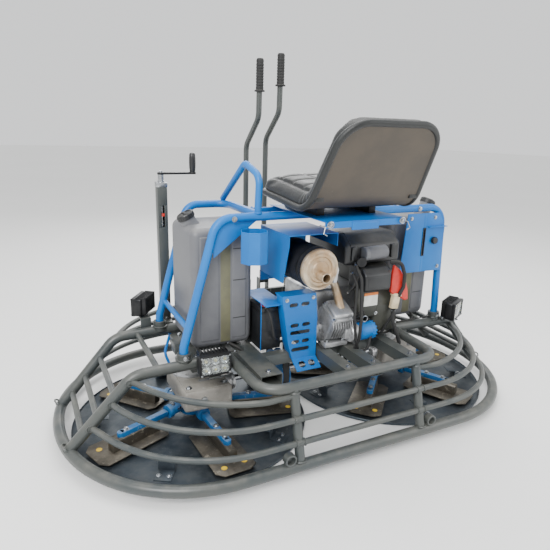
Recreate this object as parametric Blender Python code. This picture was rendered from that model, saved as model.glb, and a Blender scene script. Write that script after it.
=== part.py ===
"""Twin-rotor ride-on power trowel, seen as a machine on the floor.

Frame: +X to the operator's right (the long way), +Y to the front, +Z up.
Origin: on the floor under the middle of the guard ring. Lengths are metres.
"""
import math

import bmesh
import bpy
from mathutils import Matrix, Vector

# Driving sizes
GAP = 0.0003            # between faces that touch in the real machine
LENGTH = 2.0            # guard ring, end to end
WIDTH = 1.16            # guard ring, rear to front
RING_TUBE = 0.021       # radius of the bottom ring and the slope tubes
RING_Z = 0.05
RAIL_TUBE = 0.011       # radius of the thin guard rails
FRAME_TUBE = 0.019      # radius of the upper guard tubes
POST_TUBE = 0.017
FRAME_Z = 0.314         # centre of the upper guard tubes
SIDE_Y = 0.185          # the two level tubes of each end guard
LEG_X = 0.37            # where the upper guard tubes turn to the rear or front
POST_X = 0.262          # guard posts
HOOP_TUBE = 0.016       # radius of the blue tubes
HOOP_Y = 0.178
HOOP_Z = 0.84           # top of the blue frame
HOOP_FOOT_Z = 0.356     # where a blue tube stands on its collar
BEAM_TOP = 0.32         # top of the chassis beams
ROTOR_Y = -0.03
ARM_Z = 0.07            # axis of the blade arms
END_GAP = 0.016         # float pan to guard ring
PAN_GAP = 0.012         # half the gap between the two pans
SHAFT_Y = -0.12         # crankshaft and cross shaft
SHAFT_Z = 0.185
CRANK_Z = 0.44
PULLEY_X = -0.135
PULLEY_WIDE = 0.028
BELT_THICK = 0.008
DRIVEN_R = 0.079        # groove radius of the driven pulley
CLUTCH_R = 0.055        # groove radius of the clutch pulley
TANK_SIZE = (0.24, 0.28, 0.46)
TANK_FLOOR = 0.338
SEAT_X = 0.02
SEAT_WIDE = 0.42
SEAT_HINGE_Y = -0.03
SEAT_FRONT_Y = -0.06     # front edge of the seat shell
SEAT_CORNER_Y = -0.42    # where the base of the shell turns up into its back
SEAT_TOP_Y = -0.572
SEAT_RISE = 0.03         # the front edge stands this much over the rear of the base
SEAT_BACK = 0.283        # from the rear of the base to the top of the back
TOWER_X = 0.50
TOWER_TOP = 0.925
TOWER_SIDE = 0.04
LEVER_X = 0.05
LEVER_PIVOT_Z = 0.40
FOOTPLATE_Z = 0.335
BLADES = 5
BLADE_START = {-1: 59.0, 1: 9.0}     # bearing of the first blade on the left and right rotor
SPIDER_TOP = 0.108
ARM_ROOT = 0.125
ARM_LONG = 0.345
BLADE_TOP = 0.0205
PAN_THICK = 0.005
CRANK_REACH = 0.135
LAMP_FOOT = 0.05        # from a lamp's middle down to its bracket
NECK = {-1: (-0.005, 0.055), 1: (-0.10, 0.085)}      # place in Y and length of each tank's filler neck

# (rise of a rail over the floor, how far it stands in from the ring's end and side, straight share)
RAILS = ((0.286, 0.214, 0.046, 0.176), (0.215, 0.139, 0.022, 0.117), (0.135, 0.079, 0.006, 0.071))

# Worked out from them
HALF = LENGTH / 2
RING_A = HALF - RING_TUBE
RING_B = WIDTH / 2 - RING_TUBE
RING_STRAIGHT = RING_A - 0.514
PAN_R = min((HALF - 2 * RING_TUBE - END_GAP - PAN_GAP) / 2, WIDTH / 2 - 2 * RING_TUBE - END_GAP + ROTOR_Y)
ROTOR_X = HALF - 2 * RING_TUBE - END_GAP - PAN_R
BEND_X = HALF - 0.267
UPPER_Y = RING_B - 0.064
LEVER_Y = UPPER_Y - 0.065
PEDAL_Y = UPPER_Y - 0.095
LEFT_FOOT_X = -(BEND_X - 0.186)
RIGHT_FOOT_X = BEND_X - 0.09
SEAT_Z = HOOP_Z + HOOP_TUBE + 0.0005
SEAT_BASE_Z = SEAT_Z + 0.0283
TOWER_Y = SIDE_Y + 0.08
CRANK_ARM_Z = TOWER_TOP + 0.033
PEDAL_Z = FOOTPLATE_Z + 0.03
GEAR_TOP = BEAM_TOP - 0.062         # underside of the hanger beams
TANK_X = {-1: LEFT_FOOT_X + 0.167, 1: RIGHT_FOOT_X - 0.148}
# Middle of each lamp, and how far its face is turned from the rear
LAMPS = {
    "rear_left_lamp": ((-BEND_X + 0.268, -SIDE_Y - 0.08, FRAME_Z + 0.031), 0.0),
    "front_left_lamp": ((-BEND_X + 0.133, SIDE_Y + 0.07, FRAME_Z + 0.101), -125.0),
    "rear_right_lamp": ((BEND_X - 0.043, -SIDE_Y - 0.06, FRAME_Z + 0.073), 28.0),
    "front_right_lamp": ((BEND_X - 0.043, SIDE_Y + 0.07, FRAME_Z + 0.101), 125.0),
}

COLOURS = {
    "guard_grey": ((0.235, 0.25, 0.25), 0.5, 0.3),
    "cover_grey": ((0.42, 0.41, 0.39), 0.5, 0.2),
    "frame_blue": ((0.015, 0.30, 0.80), 0.35, 0.1),
    "tank_grey": ((0.30, 0.30, 0.31), 0.55, 0.0),
    "black_plastic": ((0.02, 0.02, 0.022), 0.45, 0.0),
    "black_vinyl": ((0.03, 0.035, 0.035), 0.45, 0.0),
    "shell_brown": ((0.21, 0.17, 0.13), 0.6, 0.0),
    "cast_aluminium": ((0.55, 0.54, 0.52), 0.4, 0.9),
    "muffler_steel": ((0.62, 0.50, 0.38), 0.45, 0.6),
    "blade_steel": ((0.25, 0.25, 0.24), 0.45, 0.7),
    "pan_steel": ((0.09, 0.10, 0.11), 0.5, 0.6),
    "rubber": ((0.02, 0.02, 0.02), 0.8, 0.0),
    "zinc_steel": ((0.55, 0.55, 0.55), 0.35, 0.9),
}


# Tools

def link(mesh, name="piece"):
    obj = bpy.data.objects.new(name, mesh)
    bpy.context.scene.collection.objects.link(obj)
    return obj


def from_bmesh(bm):
    mesh = bpy.data.meshes.new("piece")
    bm.to_mesh(mesh)
    bm.free()
    return link(mesh)


def box(x, y, z, bevel=0.0, segments=1):
    """A box between the two ends of x, y and z."""
    bm = bmesh.new()
    bmesh.ops.create_cube(bm, size=1.0)
    size = (x[1] - x[0], y[1] - y[0], z[1] - z[0])
    middle = ((x[0] + x[1]) / 2, (y[0] + y[1]) / 2, (z[0] + z[1]) / 2)
    bmesh.ops.scale(bm, vec=size, verts=bm.verts)
    if bevel:
        bmesh.ops.bevel(bm, geom=bm.edges[:], offset=bevel, segments=segments, profile=0.5,
                        affect="EDGES", material=-1)
    bmesh.ops.translate(bm, vec=middle, verts=bm.verts)
    return from_bmesh(bm)


def prism(outline, axis, low, high):
    """An outline in the plane across the axis, pulled from low to high along it."""
    bm = bmesh.new()
    places = {"x": lambda a, b: (low, a, b), "y": lambda a, b: (a, low, b), "z": lambda a, b: (a, b, low)}
    corners = [bm.verts.new(places[axis](a, b)) for a, b in outline]
    face = bm.faces.new(corners)
    grown = bmesh.ops.extrude_face_region(bm, geom=[face])
    step = [0.0, 0.0, 0.0]
    step["xyz".index(axis)] = high - low
    moved = [v for v in grown["geom"] if isinstance(v, bmesh.types.BMVert)]
    bmesh.ops.translate(bm, vec=step, verts=moved)
    bmesh.ops.recalc_face_normals(bm, faces=bm.faces)
    return from_bmesh(bm)


def rod(start, end, radius, sides=12, end_radius=None):
    """A round bar, or a cone, from start to end."""
    start = Vector(start)
    run = Vector(end) - start
    bm = bmesh.new()
    turn = run.to_track_quat("Z", "Y").to_matrix().to_4x4()
    last = radius if end_radius is None else end_radius
    bmesh.ops.create_cone(bm, cap_ends=True, segments=sides, radius1=radius, radius2=last, depth=run.length,
                          matrix=Matrix.Translation(start + run / 2) @ turn)
    return from_bmesh(bm)


def turned(profile, centre, axis, steps=24):
    """A solid of revolution. The profile's pairs are (radius, distance along the axis)."""
    bm = bmesh.new()
    points = [bm.verts.new((r, 0.0, h)) for r, h in profile]
    edges = [bm.edges.new(pair) for pair in zip(points, points[1:])]
    bmesh.ops.spin(bm, geom=points + edges, cent=(0, 0, 0), axis=(0, 0, 1), angle=math.tau, steps=steps,
                   use_merge=True)
    bmesh.ops.remove_doubles(bm, verts=bm.verts, dist=1e-6)
    bmesh.ops.recalc_face_normals(bm, faces=bm.faces)
    turn = Vector(axis).to_track_quat("Z", "Y").to_matrix().to_4x4()
    bmesh.ops.transform(bm, matrix=Matrix.Translation(centre) @ turn, verts=bm.verts)
    return from_bmesh(bm)


def baked(obj):
    """Swaps an object for a plain mesh of what it shows."""
    seen = obj.evaluated_get(bpy.context.evaluated_depsgraph_get())
    mesh = bpy.data.meshes.new_from_object(seen)
    bpy.data.objects.remove(obj, do_unlink=True)
    return link(mesh)


def tube(path, radius, roundness=2, closed=False):
    """A round tube along a path, with filled ends. Roundness 2 gives eight sides."""
    curve = bpy.data.curves.new("tube", "CURVE")
    curve.dimensions = "3D"
    curve.bevel_depth = radius
    curve.bevel_resolution = roundness
    curve.resolution_u = 1
    curve.render_resolution_u = 0
    curve.use_fill_caps = True
    spline = curve.splines.new("POLY")
    spline.points.add(len(path) - 1)
    for point, place in zip(spline.points, path):
        point.co = (*place, 1.0)
    spline.use_cyclic_u = closed
    obj = baked(link(curve))
    bm = bmesh.new()
    bm.from_mesh(obj.data)
    bmesh.ops.remove_doubles(bm, verts=bm.verts, dist=1e-6)
    bmesh.ops.recalc_face_normals(bm, faces=bm.faces)
    bm.to_mesh(obj.data)
    bm.free()
    return obj


def bent(corners, radius, steps=4):
    """A path whose inner corners are rounded to a bend radius."""
    corners = [Vector(c) for c in corners]
    path = [corners[0]]
    for before, corner, after in zip(corners, corners[1:], corners[2:]):
        a = (before - corner).normalized()
        b = (after - corner).normalized()
        half = a.angle(b) / 2
        reach = min(radius / math.tan(half), 0.49 * (before - corner).length, 0.49 * (after - corner).length)
        arm = reach * math.tan(half)
        centre = corner + (a + b).normalized() * math.hypot(reach, arm)
        first = (corner + a * reach - centre).normalized()
        last = (corner + b * reach - centre).normalized()
        path += [centre + first.slerp(last, k / steps) * arm for k in range(steps + 1)]
    return path + [corners[-1]]


def fused(parts, cuts=()):
    """One closed body: the parts joined, less the cuts."""
    body, *others = parts
    for other in others:
        join = body.modifiers.new("join", "BOOLEAN")
        join.operation = "UNION"
        join.object = other
    for cut in cuts:
        away = body.modifiers.new("cut", "BOOLEAN")
        away.operation = "DIFFERENCE"
        away.object = cut
    result = baked(body)
    for used in (*others, *cuts):
        bpy.data.objects.remove(used, do_unlink=True)
    return result


def name_part(obj, name, colour, pivot=(0.0, 0.0, 0.0), smooth=True):
    """Names a node, paints it and puts its origin on its pivot."""
    obj.name = name
    obj.data.name = name
    obj.data.transform(Matrix.Translation(-Vector(pivot)))
    obj.location = pivot
    if smooth:
        obj.data.shade_smooth()
        obj.data.set_sharp_from_angle(angle=math.radians(35))
    obj.data.materials.clear()
    obj.data.materials.append(paint(colour))
    return obj


def paint(name):
    found = bpy.data.materials.get(name)
    if found:
        return found
    colour, roughness, metallic = COLOURS[name]
    material = bpy.data.materials.new(name)
    material.use_nodes = True
    shader = material.node_tree.nodes["Principled BSDF"]
    shader.inputs["Base Color"].default_value = (*colour, 1.0)
    shader.inputs["Roughness"].default_value = roughness
    shader.inputs["Metallic"].default_value = metallic
    return material


# Guard cage

def ring_end(a, b, straight, z, steps):
    """The rear right quarter of a ring: from its straight side round to its end on the X axis."""
    power = 2 / 2.07
    turns = [math.pi / 2 * k / steps for k in range(steps + 1)]
    return [(straight + (a - straight) * math.sin(t) ** power, -b * math.cos(t) ** power, z) for t in turns]


def ring_path(steps=11):
    quarter = ring_end(RING_A, RING_B, RING_STRAIGHT, RING_Z, steps)
    front = [(x, -y, z) for x, y, z in reversed(quarter[:-1])]
    right = quarter + front
    return right + [(-x, -y, z) for x, y, z in right]


def slope_path(side, end):
    """The tube that climbs from the ring's end and runs level to the upper guard tube."""
    foot = (side * (HALF - 0.036), end * (SIDE_Y - 0.019), RING_Z)
    return [foot, (side * BEND_X, end * SIDE_Y, FRAME_Z - 0.01),
            (side * (LEG_X + 0.02), end * SIDE_Y, FRAME_Z)]


def slope_tube(side, end, extra=0.0):
    return tube(bent(slope_path(side, end), 0.09), RING_TUBE + extra)


def upper_tube(end, extra=0.0):
    reach = end * UPPER_Y
    path = [(-LEG_X - 0.01, end * SIDE_Y, FRAME_Z), (-LEG_X, reach, FRAME_Z), (LEG_X, reach, FRAME_Z),
            (LEG_X + 0.02, end * SIDE_Y, FRAME_Z)]
    return tube(bent(path, 0.075, 5), FRAME_TUBE + extra)


def guard_post(side, end, extra=0.0):
    return tube([(side * POST_X, end * RING_B, RING_Z), (side * POST_X, end * UPPER_Y, FRAME_Z)],
                POST_TUBE + extra)


def ring_tube(extra=0.0):
    return tube(ring_path(), RING_TUBE + extra, 3, closed=True)


def rail_width(level):
    return RING_B - RAILS[level][2]


def end_rail(side, end, level):
    z, inset, _, inset_straight = RAILS[level]
    quarter = ring_end(RING_A - inset, rail_width(level), RING_STRAIGHT - inset_straight, z, 10)
    curve = [(side * x, -end * y, z) for x, y, z in quarter if -y > SIDE_Y + 0.02]
    foot, bend = (Vector(p) for p in slope_path(side, end)[:2])
    curve.append(tuple(foot.lerp(bend, (z - foot.z) / (bend.z - foot.z))))
    start = (side * POST_X, end * rail_width(level), z)
    if level == 0:
        start = (side * POST_X, end * (UPPER_Y + 0.007), z)
        curve = [p for p in curve if abs(p[0]) > LEG_X - 0.02]
    return tube([start] + curve, RAIL_TUBE, 1)


def guard_ring():
    sockets = []
    bores = []
    for side in (-1, 1):
        for end in (-1, 1):
            x = side * (POST_X + POST_TUBE + 0.025)
            y = end * RING_B
            sockets.append(rod((x, y - end * 0.01, 0.088), (x, y + end * 0.016, 0.088), 0.021, 14))
            bores.append(rod((x, y + end * 0.001, 0.0885), (x, y + end * 0.03, 0.0885), 0.015, 14))
    return name_part(fused([ring_tube()] + sockets, bores), "guard_ring", "guard_grey")


def collar(x, end):
    return rod((x, end * HOOP_Y, FRAME_Z), (x, end * HOOP_Y, HOOP_FOOT_Z - GAP), 0.026, 16)


def end_guard(side, name):
    parts = [slope_tube(side, end) for end in (-1, 1)]
    low, high = (Vector(p) for p in slope_path(side, 1)[:2])
    for share in (0.22, 0.45, 0.72):
        foot = low.lerp(high, share)
        parts.append(rod(foot, (foot.x, -foot.y, foot.z), RAIL_TUBE, 8))
    level = FRAME_Z - 0.006
    inboard = side * (BEND_X - 0.09)
    parts.append(rod((inboard, -SIDE_Y, level), (inboard, SIDE_Y, level), RAIL_TUBE, 8))
    for end in (-1, 1):
        parts += [end_rail(side, end, rail) for rail in range(3)]
        parts.append(collar(LEFT_FOOT_X if side < 0 else RIGHT_FOOT_X, end))
    for place, _ in LAMPS.values():
        if place[0] * side > 0:
            parts += lamp_bracket(place)
    cuts = [ring_tube(GAP)]
    for end in (-1, 1):
        cuts += [guard_post(side, end, GAP), upper_tube(end, GAP)]
    return name_part(fused(parts, cuts), name, "guard_grey")


def lamp_bracket(place):
    """A folded plate welded to the level tube, with its top under the lamp's foot."""
    x, y, z = place
    end = 1 if y > 0 else -1
    top = z - LAMP_FOOT - GAP
    weld = end * (SIDE_Y + 0.014)
    rise = sorted((FRAME_Z - 0.012, top - 0.001))
    upright = box((x - 0.022, x + 0.022), sorted((weld, weld + end * 0.006)), (rise[0] - 0.003, rise[1]))
    shelf = box((x - 0.021, x + 0.021), sorted((weld + end * 0.001, y + end * 0.02)), (top - 0.006, top))
    return [upright, shelf]


def side_guard(end, name):
    parts = [upper_tube(end)]
    for side in (-1, 1):
        parts.append(guard_post(side, end))
    for level in (1, 2):
        y = end * rail_width(level)
        z = RAILS[level][0]
        parts.append(rod((-POST_X, y, z), (POST_X, y, z), RAIL_TUBE, 8))
    cuts = [ring_tube(GAP)]
    return name_part(fused(parts, cuts), name, "guard_grey")


# Chassis

def main_frame():
    low = BEAM_TOP - 0.05
    top = BEAM_TOP - 0.002
    rail_y = SIDE_Y + 0.04
    spine = box((-ROTOR_X - 0.05, ROTOR_X + 0.05), (0.02, 0.08), (low - 0.012, low + 0.035))
    parts = [spine]
    for side in (-1, 1):
        hanger = side * ROTOR_X
        parts.append(box((hanger - 0.035, hanger + 0.035), (-SIDE_Y + 0.026, SIDE_Y - 0.026),
                         (low - 0.012, low + 0.025)))
        parts.append(box((-LEG_X + 0.045, LEG_X - 0.045), (side * rail_y - 0.02, side * rail_y + 0.02),
                         (low, low + 0.045)))
    reach = UPPER_Y - 0.017
    beams = ((-0.298, 0.042, reach - 0.078), (-0.012, 0.024, reach), (0.10, 0.024, reach), (0.275, 0.024, reach))
    for x, half, rear in beams:
        parts.append(box((x - half, x + half), (-rear, rear), (low + 0.005, top + 0.002)))
    cuts = [upper_tube(end, GAP) for end in (-1, 1)]
    return name_part(fused(parts, cuts), "main_frame", "guard_grey", smooth=False)


def footplate():
    front = UPPER_Y - 0.03
    plate = box((-0.30, 0.33), (0.215, front), (FOOTPLATE_Z, FOOTPLATE_Z + 0.005))
    kick = box((-0.30, 0.33), (0.215, 0.219), (FOOTPLATE_Z, FOOTPLATE_Z + 0.09))
    ears = []
    for side in (-1, 1):
        middle = side * LEVER_X
        ears.append(box((middle - 0.028, middle + 0.028), (LEVER_Y - 0.03, LEVER_Y + 0.03),
                        (FOOTPLATE_Z, FOOTPLATE_Z + 0.012)))
        for x in (middle - 0.026, middle + 0.021):
            ears.append(box((x, x + 0.005), (LEVER_Y - 0.018, LEVER_Y + 0.018),
                            (FOOTPLATE_Z, LEVER_PIVOT_Z + 0.016)))
    heel = box((0.15, 0.25), (PEDAL_Y, PEDAL_Y + 0.006), (FOOTPLATE_Z, FOOTPLATE_Z + 0.02))
    return name_part(fused([plate, kick, heel] + ears), "footplate", "guard_grey", smooth=False)


# Blue upper frame

def rear_hoop():
    y = -HOOP_Y
    left_top = LEFT_FOOT_X + 0.128
    path = bent([(LEFT_FOOT_X, y, HOOP_FOOT_Z), (LEFT_FOOT_X, y, HOOP_FOOT_Z + 0.02), (left_top, y, HOOP_Z),
                 (RIGHT_FOOT_X - 0.022, y, HOOP_Z), (RIGHT_FOOT_X, y, HOOP_FOOT_Z + 0.02),
                 (RIGHT_FOOT_X, y, HOOP_FOOT_Z)], 0.075, 5)
    brace_z = 0.44
    brace_x = LEFT_FOOT_X + 0.128 * (brace_z - HOOP_FOOT_Z) / (HOOP_Z - HOOP_FOOT_Z)
    brace = rod((brace_x, y, brace_z), (brace_x, HOOP_Y - HOOP_TUBE - GAP, brace_z), 0.011, 10)
    loop = tube(bent([(-0.263, y, HOOP_Z), (-0.263, y - 0.012, 0.985), (-0.263, -0.06, 1.022),
                      (-0.263, HOOP_Y - 0.004, HOOP_Z + HOOP_TUBE + 0.006)], 0.045), 0.013)
    gusset = prism([(left_top - 0.012, 0.70), (left_top + 0.17, HOOP_Z), (left_top + 0.02, HOOP_Z),
                    (left_top - 0.02, 0.78)], "y", y - 0.002, y + 0.002)
    return name_part(fused([tube(path, HOOP_TUBE), brace, loop, gusset], [side_tube(-1, 0.002)]), "rear_hoop",
                     "frame_blue")


def side_tube(side, extra=0.0):
    foot = LEFT_FOOT_X if side < 0 else RIGHT_FOOT_X
    top = foot + (0.128 if side < 0 else -0.022)
    inner = SEAT_X - 0.265 if side < 0 else SEAT_X + 0.355
    path = bent([(foot, HOOP_Y, HOOP_FOOT_Z), (foot, HOOP_Y, HOOP_FOOT_Z + 0.02), (top, HOOP_Y, HOOP_Z),
                 (inner, HOOP_Y, HOOP_Z), (inner, -HOOP_Y + HOOP_TUBE + 0.004, HOOP_Z)], 0.06, 4)
    return tube(path, HOOP_TUBE + extra)


def side_frame(side, name):
    parts = [side_tube(side)]
    if side < 0:
        rail_y = SEAT_HINGE_Y - 0.02
        parts.append(tube([(SEAT_X - 0.265, rail_y, HOOP_Z), (SEAT_X + 0.355 - HOOP_TUBE - GAP, rail_y, HOOP_Z)],
                          HOOP_TUBE - 0.002))
    return name_part(fused(parts), name, "frame_blue")


def cup_holder():
    radius = 0.05
    centre = (-0.305, -HOOP_Y - 0.002 - GAP - radius - HOOP_TUBE)
    cup = rod((*centre, 0.69), (*centre, 0.803), radius, 8)
    hollow = rod((*centre, 0.693), (*centre, 0.82), radius - 0.003, 8)
    return name_part(fused([cup], [hollow]), "cup_holder", "frame_blue", smooth=False)


def right_panel():
    """A folded plate on the rear of the right hand tube, with a lever slot."""
    back = -HOOP_Y - HOOP_TUBE - 0.001
    right = RIGHT_FOOT_X - 0.013
    outline = [(right - 0.23, 0.565), (right - 0.21, 0.82), (right - 0.035, 0.82), (right, 0.76), (right, 0.56)]
    plate = prism(outline, "y", back - 0.003, back)
    gate = box((right - 0.12, right - 0.108), (back - 0.01, back + 0.01), (0.635, 0.755))
    fold = box((right - 0.10, right), (back - 0.02, back - 0.0015), (0.7595, 0.7625))
    return name_part(fused([plate, fold], [gate]), "rear_right_panel", "frame_blue", smooth=False)


# Tanks

def tank_tilt(side):
    return Vector((side * 0.45, 0.0, 0.893)).normalized()


def neck_foot(side):
    wide, _, high = TANK_SIZE
    return Vector((TANK_X[side] + side * (wide / 2 - 0.05), NECK[side][0], TANK_FLOOR + high - 0.03))


def tank(side, name):
    middle, y = TANK_X[side], -0.005
    wide, deep, high = TANK_SIZE
    top = TANK_FLOOR + high
    body = box((middle - wide / 2, middle + wide / 2), (y - deep / 2, y + deep / 2), (TANK_FLOOR, top), 0.03, 2)
    neck = rod(neck_foot(side), neck_foot(side) + tank_tilt(side) * NECK[side][1], 0.03, 16)
    groove = box((middle - 0.012, middle + 0.028), (y - deep / 2 - 0.01, y - deep / 2 + 0.012),
                 (TANK_FLOOR - 0.01, top + 0.01), 0.004)
    return name_part(fused([body, neck], [groove]), name, "tank_grey")


def tank_cap(side, name):
    foot = neck_foot(side) + tank_tilt(side) * (NECK[side][1] + GAP)
    cap = turned([(0, 0), (0.034, 0), (0.034, 0.018), (0.029, 0.024), (0, 0.024)], foot, tank_tilt(side), 20)
    return name_part(cap, name, "black_plastic", foot)


# Seat: plate, shell and upholstery on one hinge

def seat_plate():
    ends = (SEAT_X - 0.165, SEAT_X + 0.165)
    rear = SEAT_CORNER_Y - 0.03
    plate = box(ends, (rear, SEAT_HINGE_Y), (SEAT_Z, SEAT_Z + 0.003))
    lip = box(ends, (rear, rear + 0.003), (SEAT_Z - 0.022, SEAT_Z + 0.002))
    slope = SEAT_RISE / (SEAT_FRONT_Y - SEAT_CORNER_Y)
    outline = [(SEAT_FRONT_Y - 0.02, SEAT_Z + 0.002), (SEAT_CORNER_Y + 0.09, SEAT_Z + 0.002)]
    outline += [(y, SEAT_BASE_Z + slope * (y - SEAT_CORNER_Y) - GAP) for y, _ in reversed(outline)]
    runners = [prism(outline, "x", SEAT_X + side * 0.11 - 0.015, SEAT_X + side * 0.11 + 0.015) for side in (-1, 1)]
    return name_part(fused([plate, lip] + runners), "seat_plate", "frame_blue", seat_hinge(), smooth=False)


def seat_hinge():
    return (SEAT_X, SEAT_HINGE_Y, SEAT_Z)


def seat_line(lift, steps=5):
    """Side view of the seat from its front edge to the top of its back, raised square to its surface."""
    path = bent([(0, SEAT_FRONT_Y, SEAT_BASE_Z + SEAT_RISE), (0, SEAT_CORNER_Y, SEAT_BASE_Z),
                 (0, SEAT_TOP_Y, SEAT_BASE_Z + SEAT_BACK)], 0.10, steps)
    out = []
    for k, point in enumerate(path):
        before = path[max(k - 1, 0)]
        after = path[min(k + 1, len(path) - 1)]
        run = (after - before).normalized()
        out.append((point.y + run.z * lift, point.z - run.y * lift))
    return out


def seat_slab(low, high, wide):
    outline = seat_line(low) + list(reversed(seat_line(high)))
    return prism(outline, "x", SEAT_X - wide / 2, SEAT_X + wide / 2)


def corner_cutters(wide):
    """Wedges that narrow the back towards its top."""
    top = SEAT_Z + 0.42
    cutters = []
    for side in (-1, 1):
        edge = SEAT_X + side * wide / 2
        outline = [(edge + side * 0.05, SEAT_Z + 0.05), (edge + side * 0.001, SEAT_Z + 0.11),
                   (edge - side * 0.035, top - 0.14), (edge - side * 0.09, top - 0.08), (edge - side * 0.09, top),
                   (edge + side * 0.05, top)]
        cutters.append(prism(outline, "y", -0.75, -0.38))
    return cutters


def seat_shell():
    return name_part(fused([seat_slab(0.0, 0.008, SEAT_WIDE)], corner_cutters(SEAT_WIDE)), "seat_shell",
                     "shell_brown", seat_hinge())


def seat_cushion():
    wide = SEAT_WIDE + 0.03
    return name_part(fused([seat_slab(0.008 + GAP * 2, 0.062, wide)], corner_cutters(wide)), "seat_cushion",
                     "black_vinyl", seat_hinge())


# Engine

def tilted_box(size, centre, tilt):
    block = box((-size[0] / 2, size[0] / 2), (-size[1] / 2, size[1] / 2), (-size[2] / 2, size[2] / 2), 0.008)
    block.data.transform(Matrix.Translation(centre) @ Matrix.Rotation(tilt, 4, "X"))
    return block


def engine_block():
    base = BEAM_TOP + GAP
    crankcase = box((-0.03, 0.215), (-0.25, 0.04), (base, 0.53), 0.012)
    rear = tilted_box((0.10, 0.12, 0.15), (0.055, -0.24, 0.418), math.radians(28))
    front = tilted_box((0.12, 0.13, 0.19), (0.055, 0.035, 0.475), math.radians(-42))
    nose = rod((-0.04, SHAFT_Y, CRANK_Z), (-0.085, SHAFT_Y, CRANK_Z), 0.045, 20, 0.035)
    shaft = rod((-0.06, SHAFT_Y, CRANK_Z), (-0.1, SHAFT_Y, CRANK_Z), 0.0125, 12)
    nose_root = rod((-0.02, SHAFT_Y, CRANK_Z), (-0.05, SHAFT_Y, CRANK_Z), 0.06, 20)
    return name_part(fused([crankcase, rear, front, nose_root, nose, shaft]), "engine_block", "cast_aluminium")


def oil_filter():
    start = 0.215 - 0.06
    profile = [(0, 0), (0.03, 0), (0.036, 0.008), (0.036, 0.075), (0.03, 0.083), (0, 0.083)]
    return name_part(turned(profile, (start - 0.03, -0.285 - 0.006, 0.375), (1, 0, 0), 20), "oil_filter",
                     "frame_blue")


def blower_housing():
    left = 0.2155
    outline = [(-0.27, 0.345), (-0.10, 0.335), (0.06, 0.36), (0.09, 0.50), (0.02, 0.62), (-0.12, 0.64),
               (-0.24, 0.60), (-0.285, 0.48)]
    shell = prism(outline, "x", left, left + 0.12)
    cover = box((left + 0.005, left + 0.115), (-0.315, -0.20), (0.54, 0.635), 0.012)
    return name_part(fused([shell, cover]), "blower_housing", "black_plastic")


def air_cleaner():
    z = 0.6405
    outline = [(-0.26, z), (0.03, z), (0.03, z + 0.09), (-0.02, z + 0.12), (-0.20, z + 0.12), (-0.26, z + 0.08)]
    body = prism(outline, "x", 0.075, 0.345)
    breather = rod((0.19, -0.275, z + 0.055), (0.30, -0.275, z + 0.055), 0.027, 14)
    return name_part(fused([body, breather]), "air_cleaner", "black_plastic")


def muffler():
    x = -0.083
    z = 0.664
    profile = [(0, 0), (0.066, 0), (0.077, 0.012), (0.077, 0.208), (0.07, 0.22), (0, 0.22)]
    body = turned(profile, (x, -0.34, z), (0, 1, 0), 20)
    outlet = rod((x - 0.002, -0.325, z - 0.02), (x - 0.002, -0.388, z - 0.02), 0.018, 14)
    bore = rod((x - 0.002, -0.335, z - 0.02), (x - 0.002, -0.40, z - 0.02), 0.0155, 14)
    pipe = tube(bent([(-0.06, -0.21, z - 0.04), (-0.02, -0.215, z - 0.075), (0.05, -0.225, z - 0.085),
                      (0.06, -0.285, 0.505)], 0.03), 0.016)
    return name_part(fused([body, outlet, pipe], [bore]), "muffler", "muffler_steel")


def muffler_hood():
    left, right, top = -0.19, 0.015, 0.785
    thick = 0.0025
    outline = [(left, 0.60), (left + thick, 0.60), (left + thick, top - thick), (right - thick, top - thick),
               (right - thick, 0.735), (right, 0.735), (right, top), (left, top)]
    front = -0.05
    sheet = prism(outline, "y", -0.29, front)
    inset = thick / 2
    wall = box((left + inset, right - inset), (front - 2 * thick, front - thick), (0.56, top - inset))
    slant = prism([(-0.30, 0.59), (-0.245, 0.59), (-0.30, 0.79)], "x", left - 0.01, left + 0.01)
    slant.data.transform(Matrix.Translation((0.0, -0.002, 0.0)))
    return name_part(fused([sheet, wall], [slant]), "muffler_hood", "frame_blue", smooth=False)


def slot(x, z, length, y):
    radius = 0.0082
    half = length / 2 - radius
    outline = []
    for end, start in ((1, -90), (-1, 90)):
        for k in range(5):
            angle = math.radians(start + 45 * k)
            outline.append((x + end * half + radius * math.cos(angle), z + radius * math.sin(angle)))
    return prism(outline, "y", y - 0.06, y + 0.02)


def belt_guard():
    """Slotted sheet behind the drive belt, with a top flange, a side flange and a kicked-out foot."""
    y = -0.262
    thick = 0.003
    left, right = -0.195, -0.04
    plate = prism([(left + 0.05, 0.29), (right, 0.29), (right, 0.45), (right - 0.01, 0.55), (left, 0.55),
                   (left + 0.03, 0.36)], "y", y, y + thick)
    top = box((left, right - 0.01), (y, y + 0.06), (0.5485, 0.5515))
    foot = prism([(y + thick, 0.292), (y, 0.292), (y - 0.045, 0.262), (y - 0.045, 0.259), (y + thick, 0.289)], "x",
                 left + 0.05, right)
    rows = ((0.513, (-0.145, -0.095), 0.038), (0.430, (-0.138, -0.088), 0.036), (0.400, (-0.113,), 0.088),
            (0.362, (-0.132, -0.088), 0.034), (0.330, (-0.110,), 0.08), (0.2755, (-0.112, -0.070), 0.03))
    slots = [slot(x, z, length, y) for z, places, length in rows for x in places]
    return name_part(fused([plate, top, foot], slots), "belt_guard", "frame_blue", smooth=False)


def battery():
    case = box((-0.25, -0.165), (-0.20, -0.03), (BEAM_TOP + 0.001, 0.50), 0.004)
    post = rod((-0.225, -0.18, 0.495), (-0.225, -0.18, 0.512), 0.008, 10)
    tray = box((-0.252, -0.163), (-0.245, -0.03), (0.513, 0.516))
    strap = box((-0.215, -0.195), (-0.06, -0.04), (0.49, 0.515))
    return name_part(fused([case, post, strap, tray]), "battery", "black_plastic", smooth=False)


# Drive

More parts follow.
